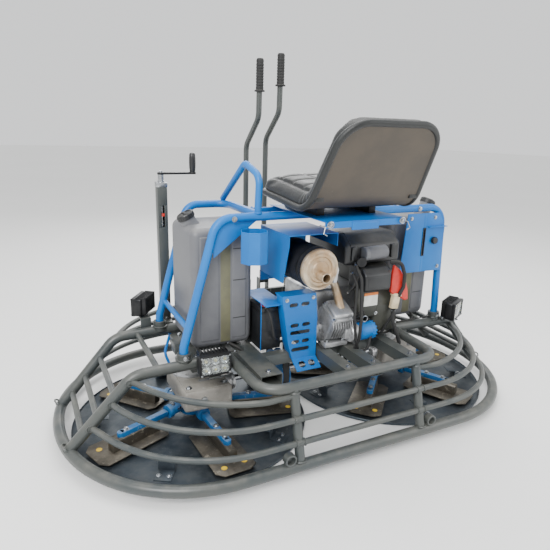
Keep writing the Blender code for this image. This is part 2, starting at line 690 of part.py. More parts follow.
def pulley(groove_radius, centre_z, name, shaft=None):
    half = PULLEY_WIDE / 2
    flange = groove_radius + BELT_THICK
    profile = [(0, -half - 0.004), (flange, -half - 0.004), (flange, -half), (groove_radius, -half),
               (groove_radius, half), (flange, half), (flange, half + 0.004), (0, half + 0.004)]
    wheel = turned(profile, (PULLEY_X, SHAFT_Y, centre_z), (1, 0, 0), 24)
    parts = [wheel]
    if shaft:
        parts.append(rod((-shaft, SHAFT_Y, centre_z), (shaft, SHAFT_Y, centre_z), 0.0125, 10))
    return name_part(fused(parts), name, "frame_blue" if shaft else "cast_aluminium",
                     (PULLEY_X, SHAFT_Y, centre_z))


def belt_outline(lower, upper, steps=14):
    """The outline of a band round the two pulleys, at the given radii."""
    rise = CRANK_Z - SHAFT_Z
    lean = math.asin((lower - upper) / rise)
    outline = []
    for k in range(steps + 1):
        angle = lean + (math.pi - 2 * lean) * k / steps
        outline.append((SHAFT_Y + upper * math.cos(angle), CRANK_Z + upper * math.sin(angle)))
    for k in range(steps + 1):
        angle = math.pi - lean + (math.pi + 2 * lean) * k / steps
        outline.append((SHAFT_Y + lower * math.cos(angle), SHAFT_Z + lower * math.sin(angle)))
    return outline


def drive_belt():
    slack = 0.0008
    half = PULLEY_WIDE / 2 - GAP
    thick = BELT_THICK - 0.002
    band = prism(belt_outline(DRIVEN_R + slack + thick, CLUTCH_R + slack + thick), "x", PULLEY_X - half,
                 PULLEY_X + half)
    hole = prism(belt_outline(DRIVEN_R + slack, CLUTCH_R + slack), "x", PULLEY_X - 0.05, PULLEY_X + 0.05)
    return name_part(fused([band], [hole]), "drive_belt", "rubber")


def gearbox(side, name):
    middle = side * ROTOR_X
    cover_x = middle - side * 0.02
    cover = box((cover_x - 0.095, cover_x + 0.095), (ROTOR_Y - 0.165, ROTOR_Y + 0.11), (0.114, 0.201), 0.006)
    flange = rod((middle, ROTOR_Y + 0.01, 0.195), (middle, ROTOR_Y + 0.01, GEAR_TOP - GAP), 0.06, 20)
    inner = side * (ROTOR_X - 0.145)
    boss = rod((middle, SHAFT_Y, SHAFT_Z - 0.01), (inner, SHAFT_Y, SHAFT_Z - 0.01), 0.028, 16)
    output = rod((middle, ROTOR_Y, 0.12), (middle, ROTOR_Y, SPIDER_TOP + GAP), 0.035, 20)
    return name_part(fused([cover, flange, boss, output]), name, "cover_grey", smooth=False)


# Rotors

def spider(side, name):
    centre = (side * ROTOR_X, ROTOR_Y, 0.0)
    hub = turned([(0, 0.03), (0.05, 0.03), (0.055, 0.04), (0.055, 0.09), (0.075, 0.094), (0.075, SPIDER_TOP),
                  (0, SPIDER_TOP)], centre, (0, 0, 1), 18)
    parts = [hub]
    for k in range(BLADES):
        angle = math.radians(BLADE_START[side] + 360 / BLADES * k)
        out = Vector((math.cos(angle), math.sin(angle), 0))
        foot = Vector(centre) + Vector((0, 0, ARM_Z))
        parts.append(rod(foot + out * 0.03, foot + out * ARM_ROOT, 0.021, 10))
    return name_part(fused(parts), name, "frame_blue", centre)


def blade(side, number, name):
    """An arm with its steel blade, turning about the arm's own axis."""
    tip = PAN_R - 0.022
    bottom = BLADE_TOP - ARM_Z - 0.004
    plate = prism([(0.15, -0.06), (0.165, -0.08), (tip - 0.03, -0.085), (tip - 0.004, -0.06), (tip, 0.035),
                   (tip - 0.02, 0.065), (0.17, 0.065), (0.15, 0.04)], "z", bottom, bottom + 0.004)
    rib = box((0.17, ARM_LONG + 0.03), (-0.018, 0.018), (bottom + 0.003, -0.004))
    arm = box((ARM_ROOT + 0.0035, ARM_LONG), (-0.013, 0.013), (-0.011, 0.011), 0.003)
    bolt = rod((ARM_LONG - 0.035, 0, 0), (ARM_LONG - 0.035, 0, 0.024), 0.008, 6)
    body = fused([plate, rib, arm, bolt])
    angle = math.radians(BLADE_START[side] + 360 / BLADES * number)
    turn = Matrix.Translation((side * ROTOR_X, ROTOR_Y, ARM_Z)) @ Matrix.Rotation(angle, 4, "Z")
    name_part(body, name, "blade_steel", smooth=False)
    body.matrix_world = turn
    return body


def pan(side, name):
    centre = (side * ROTOR_X, ROTOR_Y, 0.0)
    rim = 0.012
    disc = turned([(0, 0), (PAN_R - 0.006, 0), (PAN_R, 0.004), (PAN_R, rim), (PAN_R - 0.004, rim),
                   (PAN_R - 0.008, PAN_THICK), (0, PAN_THICK)], centre, (0, 0, 1), 40)
    parts = [disc]
    for k in range(BLADES):
        angle = math.radians(BLADE_START[side] + 360 / BLADES * (k + 0.5))
        turn = Matrix.Translation(centre) @ Matrix.Rotation(angle, 4, "Z")
        clip = prism([(0.325, 0.036), (0.36, 0.036), (0.36, 0.004), (0.42, 0.004), (0.42, 0.008), (0.364, 0.008),
                      (0.364, 0.04), (0.325, 0.04)], "y", -0.03, 0.03)
        clip.data.transform(turn)
        parts.append(clip)
    return name_part(fused(parts), name, "pan_steel", centre)


# Controls

def tower(side, name):
    x = side * TOWER_X
    half = TOWER_SIDE / 2
    foot = SIDE_Y + 0.022
    post = box((x - half, x + half), (TOWER_Y - half, TOWER_Y + half), (0.30, TOWER_TOP), 0.004)
    collar_top = box((x - half - 0.003, x + half + 0.003), (TOWER_Y - half - 0.003, TOWER_Y + half + 0.003),
                     (TOWER_TOP - 0.02, TOWER_TOP), 0.002)
    bracket = box((x - half, x + half), (foot, TOWER_Y), (0.30, 0.33))
    slot_cut = box((x - 0.006, x + 0.006), (TOWER_Y - half - 0.01, TOWER_Y - half + 0.004), (0.74, 0.83))
    return name_part(fused([post, collar_top, bracket], [slot_cut]), name, "guard_grey", smooth=False)


def crank(side, name):
    x = side * TOWER_X
    stem = rod((x, TOWER_Y, TOWER_TOP + GAP), (x, TOWER_Y, CRANK_ARM_Z), 0.012, 14)
    inward = -side
    low = CRANK_ARM_Z - 0.003
    ends = sorted((x - inward * 0.015, x + inward * (CRANK_REACH + 0.014)))
    bar = box(ends, (TOWER_Y - 0.011, TOWER_Y + 0.011), (low, low + 0.009), 0.002)
    pin_x = x + inward * CRANK_REACH
    pin = rod((pin_x, TOWER_Y, low), (pin_x, TOWER_Y, low + 0.085), 0.005, 10)
    return name_part(fused([stem, bar, pin]), name, "black_plastic", (x, TOWER_Y, CRANK_ARM_Z))


def crank_grip(side, name):
    pin_x = side * (TOWER_X - CRANK_REACH)
    foot = CRANK_ARM_Z + 0.0065
    profile = [(0.0055, 0), (0.012, 0), (0.014, 0.03), (0.013, 0.072), (0.0055, 0.078)]
    grip = turned(profile + [profile[0]], (pin_x, TOWER_Y, foot), (0, 0, 1), 16)
    return name_part(grip, name, "black_plastic", (pin_x, TOWER_Y, foot))


def lever_path(side):
    x = side * LEVER_X
    foot = LEVER_PIVOT_Z + (0.0 if side < 0 else 0.035)
    drop = 0.028 if side < 0 else 0.0
    return [(x, LEVER_Y, foot), (x, LEVER_Y, 1.10 - drop), (x, LEVER_Y - 0.135, 1.22 - drop),
            (x, LEVER_Y - 0.14, 1.46 - drop)]


def lever(side, name):
    shaft = tube(bent(lever_path(side), 0.06), 0.0125)
    x, y, top = lever_path(side)[-1]
    grip = turned([(0, 0), (0.023, 0), (0.023, 0.006), (0.0165, 0.008), (0.0165, 0.128), (0.012, 0.135),
                   (0, 0.135)], (x, y, top - 0.131), (0, 0, 1), 16)
    pivot = lever_path(side)[0]
    if side < 0:
        boss = rod((x - 0.0205, LEVER_Y, LEVER_PIVOT_Z), (x + 0.0205, LEVER_Y, LEVER_PIVOT_Z), 0.014, 14)
    else:
        boss = rod((x, LEVER_Y - 0.012, pivot[2]), (x, LEVER_Y + 0.012, pivot[2]), 0.014, 14)
    return name_part(fused([shaft, grip, boss]), name, "zinc_steel", pivot)


def lever_fork():
    """The right lever's cross block: it rocks fore and aft, and carries the sideways pivot."""
    x = LEVER_X
    boss = rod((x - 0.0205, LEVER_Y, LEVER_PIVOT_Z), (x + 0.0205, LEVER_Y, LEVER_PIVOT_Z), 0.013, 14)
    top = LEVER_PIVOT_Z + 0.05
    parts = [boss]
    for y in (LEVER_Y - 0.018, LEVER_Y + 0.013):
        parts.append(box((x - 0.011, x + 0.011), (y, y + 0.005), (LEVER_PIVOT_Z, top)))
    parts.append(box((x - 0.011, x + 0.011), (LEVER_Y - 0.016, LEVER_Y + 0.016),
                     (LEVER_PIVOT_Z, LEVER_PIVOT_Z + 0.018)))
    return name_part(fused(parts), "lever_fork", "guard_grey", (x, LEVER_Y, LEVER_PIVOT_Z))


def throttle_pedal():
    boss = rod((0.16, PEDAL_Y, PEDAL_Z), (0.24, PEDAL_Y, PEDAL_Z), 0.008, 12)
    pad = box((0.165, 0.235), (-0.012, 0.10), (-0.003, 0.003), 0.002)
    pad.data.transform(Matrix.Translation((0, PEDAL_Y, PEDAL_Z)) @ Matrix.Rotation(math.radians(32), 4, "X"))
    return name_part(fused([boss, pad]), "throttle_pedal", "guard_grey", (0.2, PEDAL_Y, PEDAL_Z), smooth=False)


def lamp(name):
    """A work lamp that turns on its bracket. Its face looks along -Y before it is turned."""
    place, turn = LAMPS[name]
    housing = box((-0.058, 0.058), (-0.028, 0.022), (-0.043, 0.035), 0.007)
    fins = [box((x - 0.0015, x + 0.0015), (0.018, 0.036), (-0.03, 0.028)) for x in
            [-0.048 + 0.016 * k for k in range(7)]]
    bezel = box((-0.05, 0.05), (-0.05, -0.0255), (-0.035, 0.027))
    stud = rod((0, 0, -LAMP_FOOT), (0, 0, -0.04), 0.008, 10)
    body = fused([housing, stud] + fins, [bezel])
    body.data.transform(Matrix.Rotation(math.radians(turn), 4, "Z"))
    body.data.transform(Matrix.Translation(place))
    return name_part(body, name, "black_plastic", place, smooth=False)


def build():
    for obj in list(bpy.data.objects):
        bpy.data.objects.remove(obj, do_unlink=True)
    guard_ring()
    end_guard(-1, "left_end_guard")
    end_guard(1, "right_end_guard")
    side_guard(-1, "rear_guard")
    side_guard(1, "front_guard")
    main_frame()
    footplate()
    rear_hoop()
    side_frame(-1, "left_side_frame")
    side_frame(1, "right_side_frame")
    cup_holder()
    right_panel()
    seat_plate()
    seat_shell()
    seat_cushion()
    engine_block()
    oil_filter()
    blower_housing()
    air_cleaner()
    muffler()
    muffler_hood()
    belt_guard()
    battery()
    pulley(CLUTCH_R, CRANK_Z, "clutch_pulley")
    pulley(DRIVEN_R, SHAFT_Z, "cross_shaft", ROTOR_X - 0.145 - GAP)
    drive_belt()
    lever_fork()
    throttle_pedal()
    for name in LAMPS:
        lamp(name)
    for side, word in ((-1, "left"), (1, "right")):
        tank(side, word + "_tank")
        tank_cap(side, word + "_tank_cap")
        gearbox(side, word + "_gearbox")
        spider(side, word + "_spider")
        pan(side, word + "_float_pan")
        tower(side, word + "_crank_tower")
        crank(side, word + "_pitch_crank")
        crank_grip(side, word + "_crank_grip")
        lever(side, word + "_lever")
        for number in range(BLADES):
            blade(side, number, f"{word}_blade_{number + 1}")


build()
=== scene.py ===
import math

import bmesh
import bpy
from mathutils import Matrix, Vector


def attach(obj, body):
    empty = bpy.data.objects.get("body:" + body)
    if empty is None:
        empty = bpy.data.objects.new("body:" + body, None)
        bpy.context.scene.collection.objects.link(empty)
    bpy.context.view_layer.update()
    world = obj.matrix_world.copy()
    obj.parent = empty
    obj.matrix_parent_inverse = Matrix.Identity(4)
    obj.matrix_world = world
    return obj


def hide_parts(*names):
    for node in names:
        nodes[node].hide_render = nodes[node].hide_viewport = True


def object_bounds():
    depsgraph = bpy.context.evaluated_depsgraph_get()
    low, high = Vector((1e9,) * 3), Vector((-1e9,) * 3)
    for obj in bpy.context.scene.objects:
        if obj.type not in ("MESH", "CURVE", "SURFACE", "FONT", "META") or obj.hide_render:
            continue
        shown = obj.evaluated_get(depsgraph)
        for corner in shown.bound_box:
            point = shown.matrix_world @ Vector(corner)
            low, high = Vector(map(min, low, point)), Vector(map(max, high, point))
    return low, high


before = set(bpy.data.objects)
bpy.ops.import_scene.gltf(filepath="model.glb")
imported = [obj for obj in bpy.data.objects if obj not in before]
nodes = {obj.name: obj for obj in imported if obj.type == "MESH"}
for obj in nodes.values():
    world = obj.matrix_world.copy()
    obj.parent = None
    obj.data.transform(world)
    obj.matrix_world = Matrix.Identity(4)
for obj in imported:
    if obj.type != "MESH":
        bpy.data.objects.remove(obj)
cadLow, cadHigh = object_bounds()
print("frame loaded:", len(nodes), "nodes")

sides = {"left": -1, "right": 1}
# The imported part's own sizes, repeated for the finer pieces, in metres
part = {
    "half": 1.0, "ringTube": 0.021, "ringZ": 0.05, "ringA": 0.979, "ringB": 0.559, "ringStraight": 0.465,
    "railTube": 0.011, "frameTube": 0.019, "frameZ": 0.314, "sideY": 0.185, "legX": 0.37, "postX": 0.262,
    "postTube": 0.017, "bendX": 0.733, "upperY": 0.495, "hoopTube": 0.016, "hoopY": 0.178, "hoopZ": 0.84,
    "hoopFootZ": 0.356, "leftFootX": -0.547, "rightFootX": 0.643, "rotorX": 0.477, "rotorY": -0.03,
    "armZ": 0.07, "panR": 0.465, "shaftY": -0.12, "shaftZ": 0.185, "crankZ": 0.44, "pulleyX": -0.135,
    "seatX": 0.02, "seatZ": 0.8565, "seatBaseZ": 0.8848, "seatWide": 0.42, "towerX": 0.5, "towerY": 0.265,
    "towerTop": 0.925, "beamTop": 0.32, "leverX": 0.05, "leverY": 0.43,
}
half, sideY, frameZ = part["half"], part["sideY"], part["frameZ"]
bladeStart = {"left": 59.0, "right": 9.0}
rails = ((0.286, 0.214, 0.046, 0.176), (0.215, 0.139, 0.022, 0.117), (0.135, 0.079, 0.006, 0.071))


# Camera, held behind the left end of the machine

camera = {"place": (-1.021, -1.837, 1.141), "yaw": 26.72, "down": 15.87, "roll": 1.6, "lens": 33.26}


def addCamera(c):
    yaw, down, roll = (math.radians(c[k]) for k in ("yaw", "down", "roll"))
    ahead = Vector((math.sin(yaw) * math.cos(down), math.cos(yaw) * math.cos(down), -math.sin(down)))
    right = Vector((math.cos(yaw), -math.sin(yaw), 0))
    up = right.cross(ahead)
    across = right * math.cos(roll) + up * math.sin(roll)
    rise = up * math.cos(roll) - right * math.sin(roll)
    data = bpy.data.cameras.new("camera")
    data.lens = c["lens"]
    data.sensor_width = 36.0
    data.clip_end = 50
    obj = bpy.data.objects.new("camera", data)
    bpy.context.scene.collection.objects.link(obj)
    obj.matrix_world = Matrix.Translation(c["place"]) @ Matrix((across, rise, -ahead)).transposed().to_4x4()
    bpy.context.scene.camera = obj


addCamera(camera)
print("camera placed")


# Materials

def toLinear(hexColour):
    value = hexColour.lstrip("#")
    out = []
    for k in (0, 2, 4):
        c = int(value[k:k + 2], 16) / 255
        out.append(c / 12.92 if c <= 0.04045 else ((c + 0.055) / 1.055) ** 2.4)
    return (*out, 1.0)


def addNode(tree, kind, settings=None, values=None, links=None):
    node = tree.nodes.new(kind)
    for key, value in (settings or {}).items():
        setattr(node, key, value)
    for key, value in (values or {}).items():
        node.inputs[key].default_value = value
    for key, source in (links or {}).items():
        tree.links.new(source, node.inputs[key])
    return node


# The shader and its own fixed sockets
def blank(name, v):
    mat = bpy.data.materials.new(name)
    mat.use_nodes = True
    tree = mat.node_tree
    shader = tree.nodes["Principled BSDF"]
    shader.inputs["Metallic"].default_value = v.get("metal", 0.0)
    shader.inputs["Roughness"].default_value = v.get("rough", 0.5)
    if not v.get("metal"):
        shader.inputs["IOR"].default_value = v.get("ior", 1.5)
    for key, socket in (("coat", "Coat Weight"), ("coatRough", "Coat Roughness"), ("sheen", "Sheen Weight"),
                        ("sheenRough", "Sheen Roughness"), ("clear", "Transmission Weight")):
        if key in v:
            shader.inputs[socket].default_value = v[key]
    return mat, tree, shader


# Noise whose blotches are about sizeMm across
def noiseOver(tree, place, sizeMm, detail=4.0, rough=0.55, stretch=(1, 1, 1)):
    where = addNode(tree, "ShaderNodeMapping", values={"Scale": stretch}, links={"Vector": place})
    return addNode(tree, "ShaderNodeTexNoise", values={"Scale": 1000.0 / sizeMm / 2, "Detail": detail,
                   "Roughness": rough}, links={"Vector": where.outputs[0]}).outputs["Fac"]


def spread(tree, source, low, high, toLow=0.0, toHigh=1.0):
    return addNode(tree, "ShaderNodeMapRange", settings={"interpolation_type": "SMOOTHSTEP"},
                   values={"From Min": low, "From Max": high, "To Min": toLow, "To Max": toHigh},
                   links={"Value": source}).outputs[0]


def times(tree, a, b):
    links = {0: a}
    values = {}
    if isinstance(b, float):
        values[1] = b
    else:
        links[1] = b
    return addNode(tree, "ShaderNodeMath", settings={"operation": "MULTIPLY"}, values=values,
                   links=links).outputs[0]


# Colours may be hex words or sockets
def mixed(tree, share, first, second):
    node = addNode(tree, "ShaderNodeMix", settings={"data_type": "RGBA"}, links={0: share})
    for socket, colour in ((6, first), (7, second)):
        if isinstance(colour, str):
            node.inputs[socket].default_value = toLinear(colour)
        else:
            tree.links.new(colour, node.inputs[socket])
    return node.outputs[2]


def bumped(tree, height, depthMm, strength, before=None):
    links = {"Height": height}
    if before is not None:
        links["Normal"] = before
    return addNode(tree, "ShaderNodeBump", values={"Distance": depthMm / 1000, "Strength": strength},
                   links=links).outputs[0]


# A worked surface: two tones in patches, scuffs, dust that has settled on top, and grain
def finish(name, v):
    mat, tree, shader = blank(name, v)
    place = addNode(tree, "ShaderNodeTexCoord").outputs["Object"]
    patch = noiseOver(tree, place, v.get("patchMm", 90), 5.0, 0.6, v.get("stretch", (1, 1, 1)))
    colour = mixed(tree, spread(tree, patch, 0.36, 0.64), v["colour"], v["second"])
    roughness = spread(tree, patch, 0.3, 0.7, v["rough"] - v.get("roughSpread", 0.06),
                       v["rough"] + v.get("roughSpread", 0.06))
    if v.get("scuff"):
        worn = noiseOver(tree, place, v.get("scuffMm", 14), 9.0, 0.72, v.get("scuffStretch", (1, 1, 1)))
        limit = 0.72 - v.get("scuffShare", 0.1)
        wornShare = times(tree, spread(tree, worn, limit, limit + 0.06), v.get("scuffMix", 0.6))
        colour = mixed(tree, wornShare, colour, v["scuff"])
        roughness = addNode(tree, "ShaderNodeMath", settings={"operation": "MULTIPLY_ADD"},
                            values={1: v.get("scuffRough", 0.2)},
                            links={0: wornShare, 2: roughness}).outputs[0]
    if v.get("dust"):
        upward = addNode(tree, "ShaderNodeSeparateXYZ",
                         links={0: addNode(tree, "ShaderNodeNewGeometry").outputs["Normal"]}).outputs[2]
        settled = noiseOver(tree, place, v.get("dustMm", 35), 6.0, 0.65)
        lying = times(tree, spread(tree, upward, 0.2, 0.95), spread(tree, settled, 0.35, 0.7))
        colour = mixed(tree, times(tree, lying, v.get("dustMix", 0.4)), colour, v["dust"])
    tree.links.new(colour, shader.inputs["Base Color"])
    tree.links.new(roughness, shader.inputs["Roughness"])
    grain = noiseOver(tree, place, v.get("grainMm", 1.5), 3.0, 0.6, v.get("grainStretch", (1, 1, 1)))
    normal = bumped(tree, grain, v.get("grainDepthMm", 0.1), v.get("grainStrength", 0.3))
    if v.get("waveMm"):
        wave = noiseOver(tree, place, v["waveMm"], 1.0, 0.4)
        normal = bumped(tree, wave, v.get("waveDepthMm", 1.0), 0.4, normal)
    tree.links.new(normal, shader.inputs["Normal"])
    return mat


# Satin enamel sprayed over welded steel tube: an even grey with
# warmer, duller handling marks and slab dust on top
def sprayedGuardEnamel():
    return finish("sprayed grey enamel", {
        "colour": "#373d3e", "second": "#434643", "rough": 0.4, "patchMm": 120, "scuff": "#8b8a82",
        "scuffMm": 9, "scuffShare": 0.04, "scuffMix": 0.4, "dust": "#8b877c", "dustMix": 0.22,
        "grainMm": 2.2, "grainDepthMm": 0.06, "coat": 0.15, "coatRough": 0.3})


# Pressed steel cover with a pale enamel, cement-splashed in service
def splashedCoverEnamel():
    return finish("splashed cover enamel", {
        "colour": "#8f8b84", "second": "#7a7771", "rough": 0.5, "patchMm": 45, "scuff": "#c9c4b8",
        "scuffMm": 12, "scuffShare": 0.12, "scuffMix": 0.6, "dust": "#b9b3a5", "dustMix": 0.4,
        "grainMm": 1.6, "grainDepthMm": 0.08})


# Baked gloss powder coat in sky blue: strong colour, orange peel, fine pale scratches
def bakedBluePowder():
    return finish("baked blue powder coat", {
        "colour": "#0061ac", "second": "#046cb8", "rough": 0.4, "patchMm": 160, "scuff": "#0a4f86",
        "scuffMm": 7, "scuffShare": 0.05, "scuffMix": 0.7, "dust": "#5f92bd", "dustMix": 0.05,
        "grainMm": 3.0, "grainDepthMm": 0.06, "ior": 1.38, "coat": 0.06, "coatRough": 0.3})


# Blue enamel low down on the rotors, dulled by cement
def cementedBlueEnamel():
    return finish("cement dulled blue enamel", {
        "colour": "#04548e", "second": "#0a629c", "rough": 0.45, "patchMm": 40, "scuff": "#7d8d96",
        "scuffMm": 10, "scuffShare": 0.14, "scuffMix": 0.65, "dust": "#94a3aa", "dustMix": 0.5,
        "grainMm": 1.8, "grainDepthMm": 0.12})


# Rotomoulded polyethylene: waxy, slightly wavy walls with a faint pebble from the mould
def rotomouldedPolyethylene():
    return finish("rotomoulded polyethylene", {
        "colour": "#5f6064", "second": "#696a6d", "rough": 0.5, "patchMm": 70, "ior": 1.51,
        "scuff": "#8e9094", "scuffMm": 16, "scuffShare": 0.06, "scuffMix": 0.35, "dust": "#8d8b85",
        "dustMix": 0.35, "grainMm": 1.2, "grainDepthMm": 0.14, "waveMm": 60, "waveDepthMm": 1.2})


# Glass-filled nylon and ABS mouldings: near black with a fine spark-eroded texture
def mouldedBlackPlastic():
    return finish("moulded black plastic", {
        "colour": "#17181a", "second": "#202224", "rough": 0.42, "patchMm": 60, "ior": 1.53,
        "scuff": "#3a3b3c", "scuffMm": 10, "scuffShare": 0.06, "scuffMix": 0.4, "dust": "#57544c",
        "dustMix": 0.3, "grainMm": 0.9, "grainDepthMm": 0.08})


# Compression moulded seat pan: grey-brown, dull, with handling scuffs
def mouldedSeatPan():
    return finish("moulded seat pan", {
        "colour": "#3d362d", "second": "#4a4238", "rough": 0.55, "patchMm": 80, "scuff": "#7a7266",
        "scuffMm": 18, "scuffShare": 0.08, "scuffMix": 0.4, "dust": "#8a8374", "dustMix": 0.3,
        "grainMm": 1.0, "grainDepthMm": 0.12, "waveMm": 90, "waveDepthMm": 1.0})


# Sand-cast and die-cast aluminium: pale, pitted, darker with oil film in the hollows
def castAluminium():
    return finish("cast aluminium", {
        "colour": "#c6c7c8", "second": "#a3a4a5", "rough": 0.38, "metal": 0.7, "patchMm": 35,
        "scuff": "#5b564d", "scuffMm": 11, "scuffShare": 0.14, "scuffMix": 0.5, "grainMm": 0.9,
        "grainDepthMm": 0.16, "grainStrength": 0.45})


# Aluminised steel gone straw and brown with heat
def heatTintedSteel():
    return finish("heat tinted steel", {
        "colour": "#c4b59e", "second": "#a98d6c", "rough": 0.4, "metal": 0.7, "patchMm": 38,
        "scuff": "#5f4632", "scuffMm": 14, "scuffShare": 0.12, "scuffMix": 0.4, "grainMm": 1.2,
        "grainDepthMm": 0.1})


# Quenched spring steel, oiled and filmed with cement
def oiledBladeSteel():
    return finish("oiled blade steel", {
        "colour": "#4d4a44", "second": "#5f5a51", "rough": 0.42, "metal": 0.7, "patchMm": 50,
        "scuff": "#a79f90", "scuffMm": 15, "scuffShare": 0.14, "scuffMix": 0.55, "dust": "#a39a89",
        "dustMix": 0.35, "grainMm": 1.4, "grainStretch": (1, 6, 1), "grainDepthMm": 0.08})


# Hot rolled steel disc, blue-black scale with pale cement wiped round it
def rolledPanSteel():
    return finish("rolled pan steel", {
        "colour": "#343c44", "second": "#454d54", "rough": 0.4, "metal": 0.65, "patchMm": 60,
        "scuff": "#7d8386", "scuffMm": 22, "scuffShare": 0.1, "scuffMix": 0.5, "dust": "#7f817e",
        "dustMix": 0.25, "grainMm": 2.0, "grainDepthMm": 0.08})


# Zinc plated and drawn: bright, faintly clouded
def platedSteel():
    return finish("zinc plated steel", {
        "colour": "#b9bcbf", "second": "#9fa2a4", "rough": 0.28, "metal": 1.0, "patchMm": 12,
        "scuff": "#77736b", "scuffMm": 6, "scuffShare": 0.08, "scuffMix": 0.4, "grainMm": 0.6,
        "grainDepthMm": 0.03})


# Black oxide on small hardware
def blackedSteel():
    return finish("black oxide steel", {
        "colour": "#1f2022", "second": "#2b2b2c", "rough": 0.38, "metal": 0.6, "patchMm": 25,
        "scuff": "#6d6a65", "scuffMm": 5, "scuffShare": 0.07, "scuffMix": 0.5, "grainMm": 0.8,
        "grainDepthMm": 0.04})


# Extruded and moulded rubber: soft black with a grey bloom
def mouldedRubber():
    return finish("moulded rubber", {
        "colour": "#161616", "second": "#232323", "rough": 0.72, "patchMm": 20, "ior": 1.52,
        "scuff": "#4a4846", "scuffMm": 8, "scuffShare": 0.08, "scuffMix": 0.4, "dust": "#5d5a52",
        "dustMix": 0.3, "grainMm": 0.9, "grainDepthMm": 0.1})


# Fan shroud pressed from sheet and sprayed dark olive grey, oily
def sprayedShroud():
    return finish("sprayed shroud enamel", {
        "colour": "#2e302b", "second": "#3b3c35", "rough": 0.38, "patchMm": 45, "scuff": "#6a6659",
        "scuffMm": 9, "scuffShare": 0.09, "scuffMix": 0.45, "dust": "#77705f", "dustMix": 0.35,
        "grainMm": 1.4, "grainDepthMm": 0.06})


# Red plastic of caps and guards
def mouldedRedPlastic():
    return finish("moulded red plastic", {
        "colour": "#b3221b", "second": "#c93024", "rough": 0.4, "patchMm": 20, "scuff": "#7a1712",
        "scuffMm": 6, "scuffShare": 0.07, "scuffMix": 0.5, "dust": "#a9857c", "dustMix": 0.2,
        "grainMm": 1.0, "grainDepthMm": 0.05})


# Nylon connector shells, off-white turned beige
def agedNylon():
    return finish("aged nylon", {
        "colour": "#d6c6a6", "second": "#c2b18f", "rough": 0.5, "patchMm": 12, "scuff": "#786d54",
        "scuffMm": 6, "scuffShare": 0.1, "scuffMix": 0.4, "grainMm": 0.9, "grainDepthMm": 0.05})


# Calendered vinyl stickers: flat colour, satin, edges a little dirty
def stickerVinyl(name, colour, second):
    return finish(name, {
        "colour": colour, "second": second, "rough": 0.35, "patchMm": 15, "scuff": "#8c7d55",
        "scuffMm": 4, "scuffShare": 0.06, "scuffMix": 0.35, "grainMm": 1.0, "grainDepthMm": 0.02})


# Moulded olive-grey sight strip let into each tank
def sightStrip():
    return finish("tank sight strip", {
        "colour": "#5d5c49", "second": "#69684f", "rough": 0.5, "patchMm": 40, "scuff": "#8a876e",
        "scuffMm": 12, "scuffShare": 0.08, "scuffMix": 0.4, "grainMm": 1.3, "grainDepthMm": 0.12})


# Knitted-back vinyl: soft black with an embossed hide grain about a millimetre across, and a low sheen
def grainedVinyl():
    v = {"rough": 0.46, "ior": 1.52, "sheen": 0.12, "sheenRough": 0.4}
    mat, tree, shader = blank("grained vinyl", v)
    place = addNode(tree, "ShaderNodeTexCoord").outputs["Object"]
    cells = addNode(tree, "ShaderNodeTexVoronoi", settings={"feature": "DISTANCE_TO_EDGE"},
                    values={"Scale": 420.0, "Randomness": 1.0}, links={"Vector": place}).outputs["Distance"]
    hide = spread(tree, cells, 0.0, 0.35)
    broad = noiseOver(tree, place, 45, 5.0, 0.6)
    colour = mixed(tree, spread(tree, broad, 0.35, 0.65), "#0d0f0f", "#151818")
    upward = addNode(tree, "ShaderNodeSeparateXYZ",
                     links={0: addNode(tree, "ShaderNodeNewGeometry").outputs["Normal"]}).outputs[2]
    lying = times(tree, spread(tree, upward, 0.4, 1.0), spread(tree, noiseOver(tree, place, 28), 0.38, 0.7))
    colour = mixed(tree, times(tree, lying, 0.1), colour, "#5b584f")
    tree.links.new(colour, shader.inputs["Base Color"])
    tree.links.new(spread(tree, broad, 0.3, 0.7, 0.4, 0.54), shader.inputs["Roughness"])
    normal = bumped(tree, hide, 0.25, 0.5)
    normal = bumped(tree, noiseOver(tree, place, 30, 2.0), 1.2, 0.35, normal)
    tree.links.new(normal, shader.inputs["Normal"])
    return mat


# Punched steel wrap, sprayed black: 4 mm holes on a 7 mm pitch,
# drawn about 10 mm apart so that they show
def perforatedWrap():
    mat, tree, shader = blank("perforated wrap", {"rough": 0.5, "metal": 0.4})
    uv = addNode(tree, "ShaderNodeUVMap", settings={"uv_map": "wrap"}).outputs[0]
    split = addNode(tree, "ShaderNodeSeparateXYZ", links={0: uv})
    waves = [addNode(tree, "ShaderNodeMath", settings={"operation": "SINE"},
                     links={0: times(tree, split.outputs[k], math.tau / 0.0145)}).outputs[0] for k in (0, 1)]
    holes = spread(tree, times(tree, waves[0], waves[1]), 0.42, 0.62)
    place = addNode(tree, "ShaderNodeTexCoord").outputs["Object"]
    sprayed = mixed(tree, spread(tree, noiseOver(tree, place, 40), 0.35, 0.65), "#26272a", "#34353a")
    # the holes are painted pure black: painted shade standing for the dark gap seen through them
    tree.links.new(mixed(tree, holes, sprayed, "#000000"), shader.inputs["Base Color"])
    back = addNode(tree, "ShaderNodeMath", settings={"operation": "SUBTRACT"}, values={0: 1.0},
                   links={1: holes})
    tree.links.new(bumped(tree, back.outputs[0], 2.0, 0.8), shader.inputs["Normal"])
    return mat


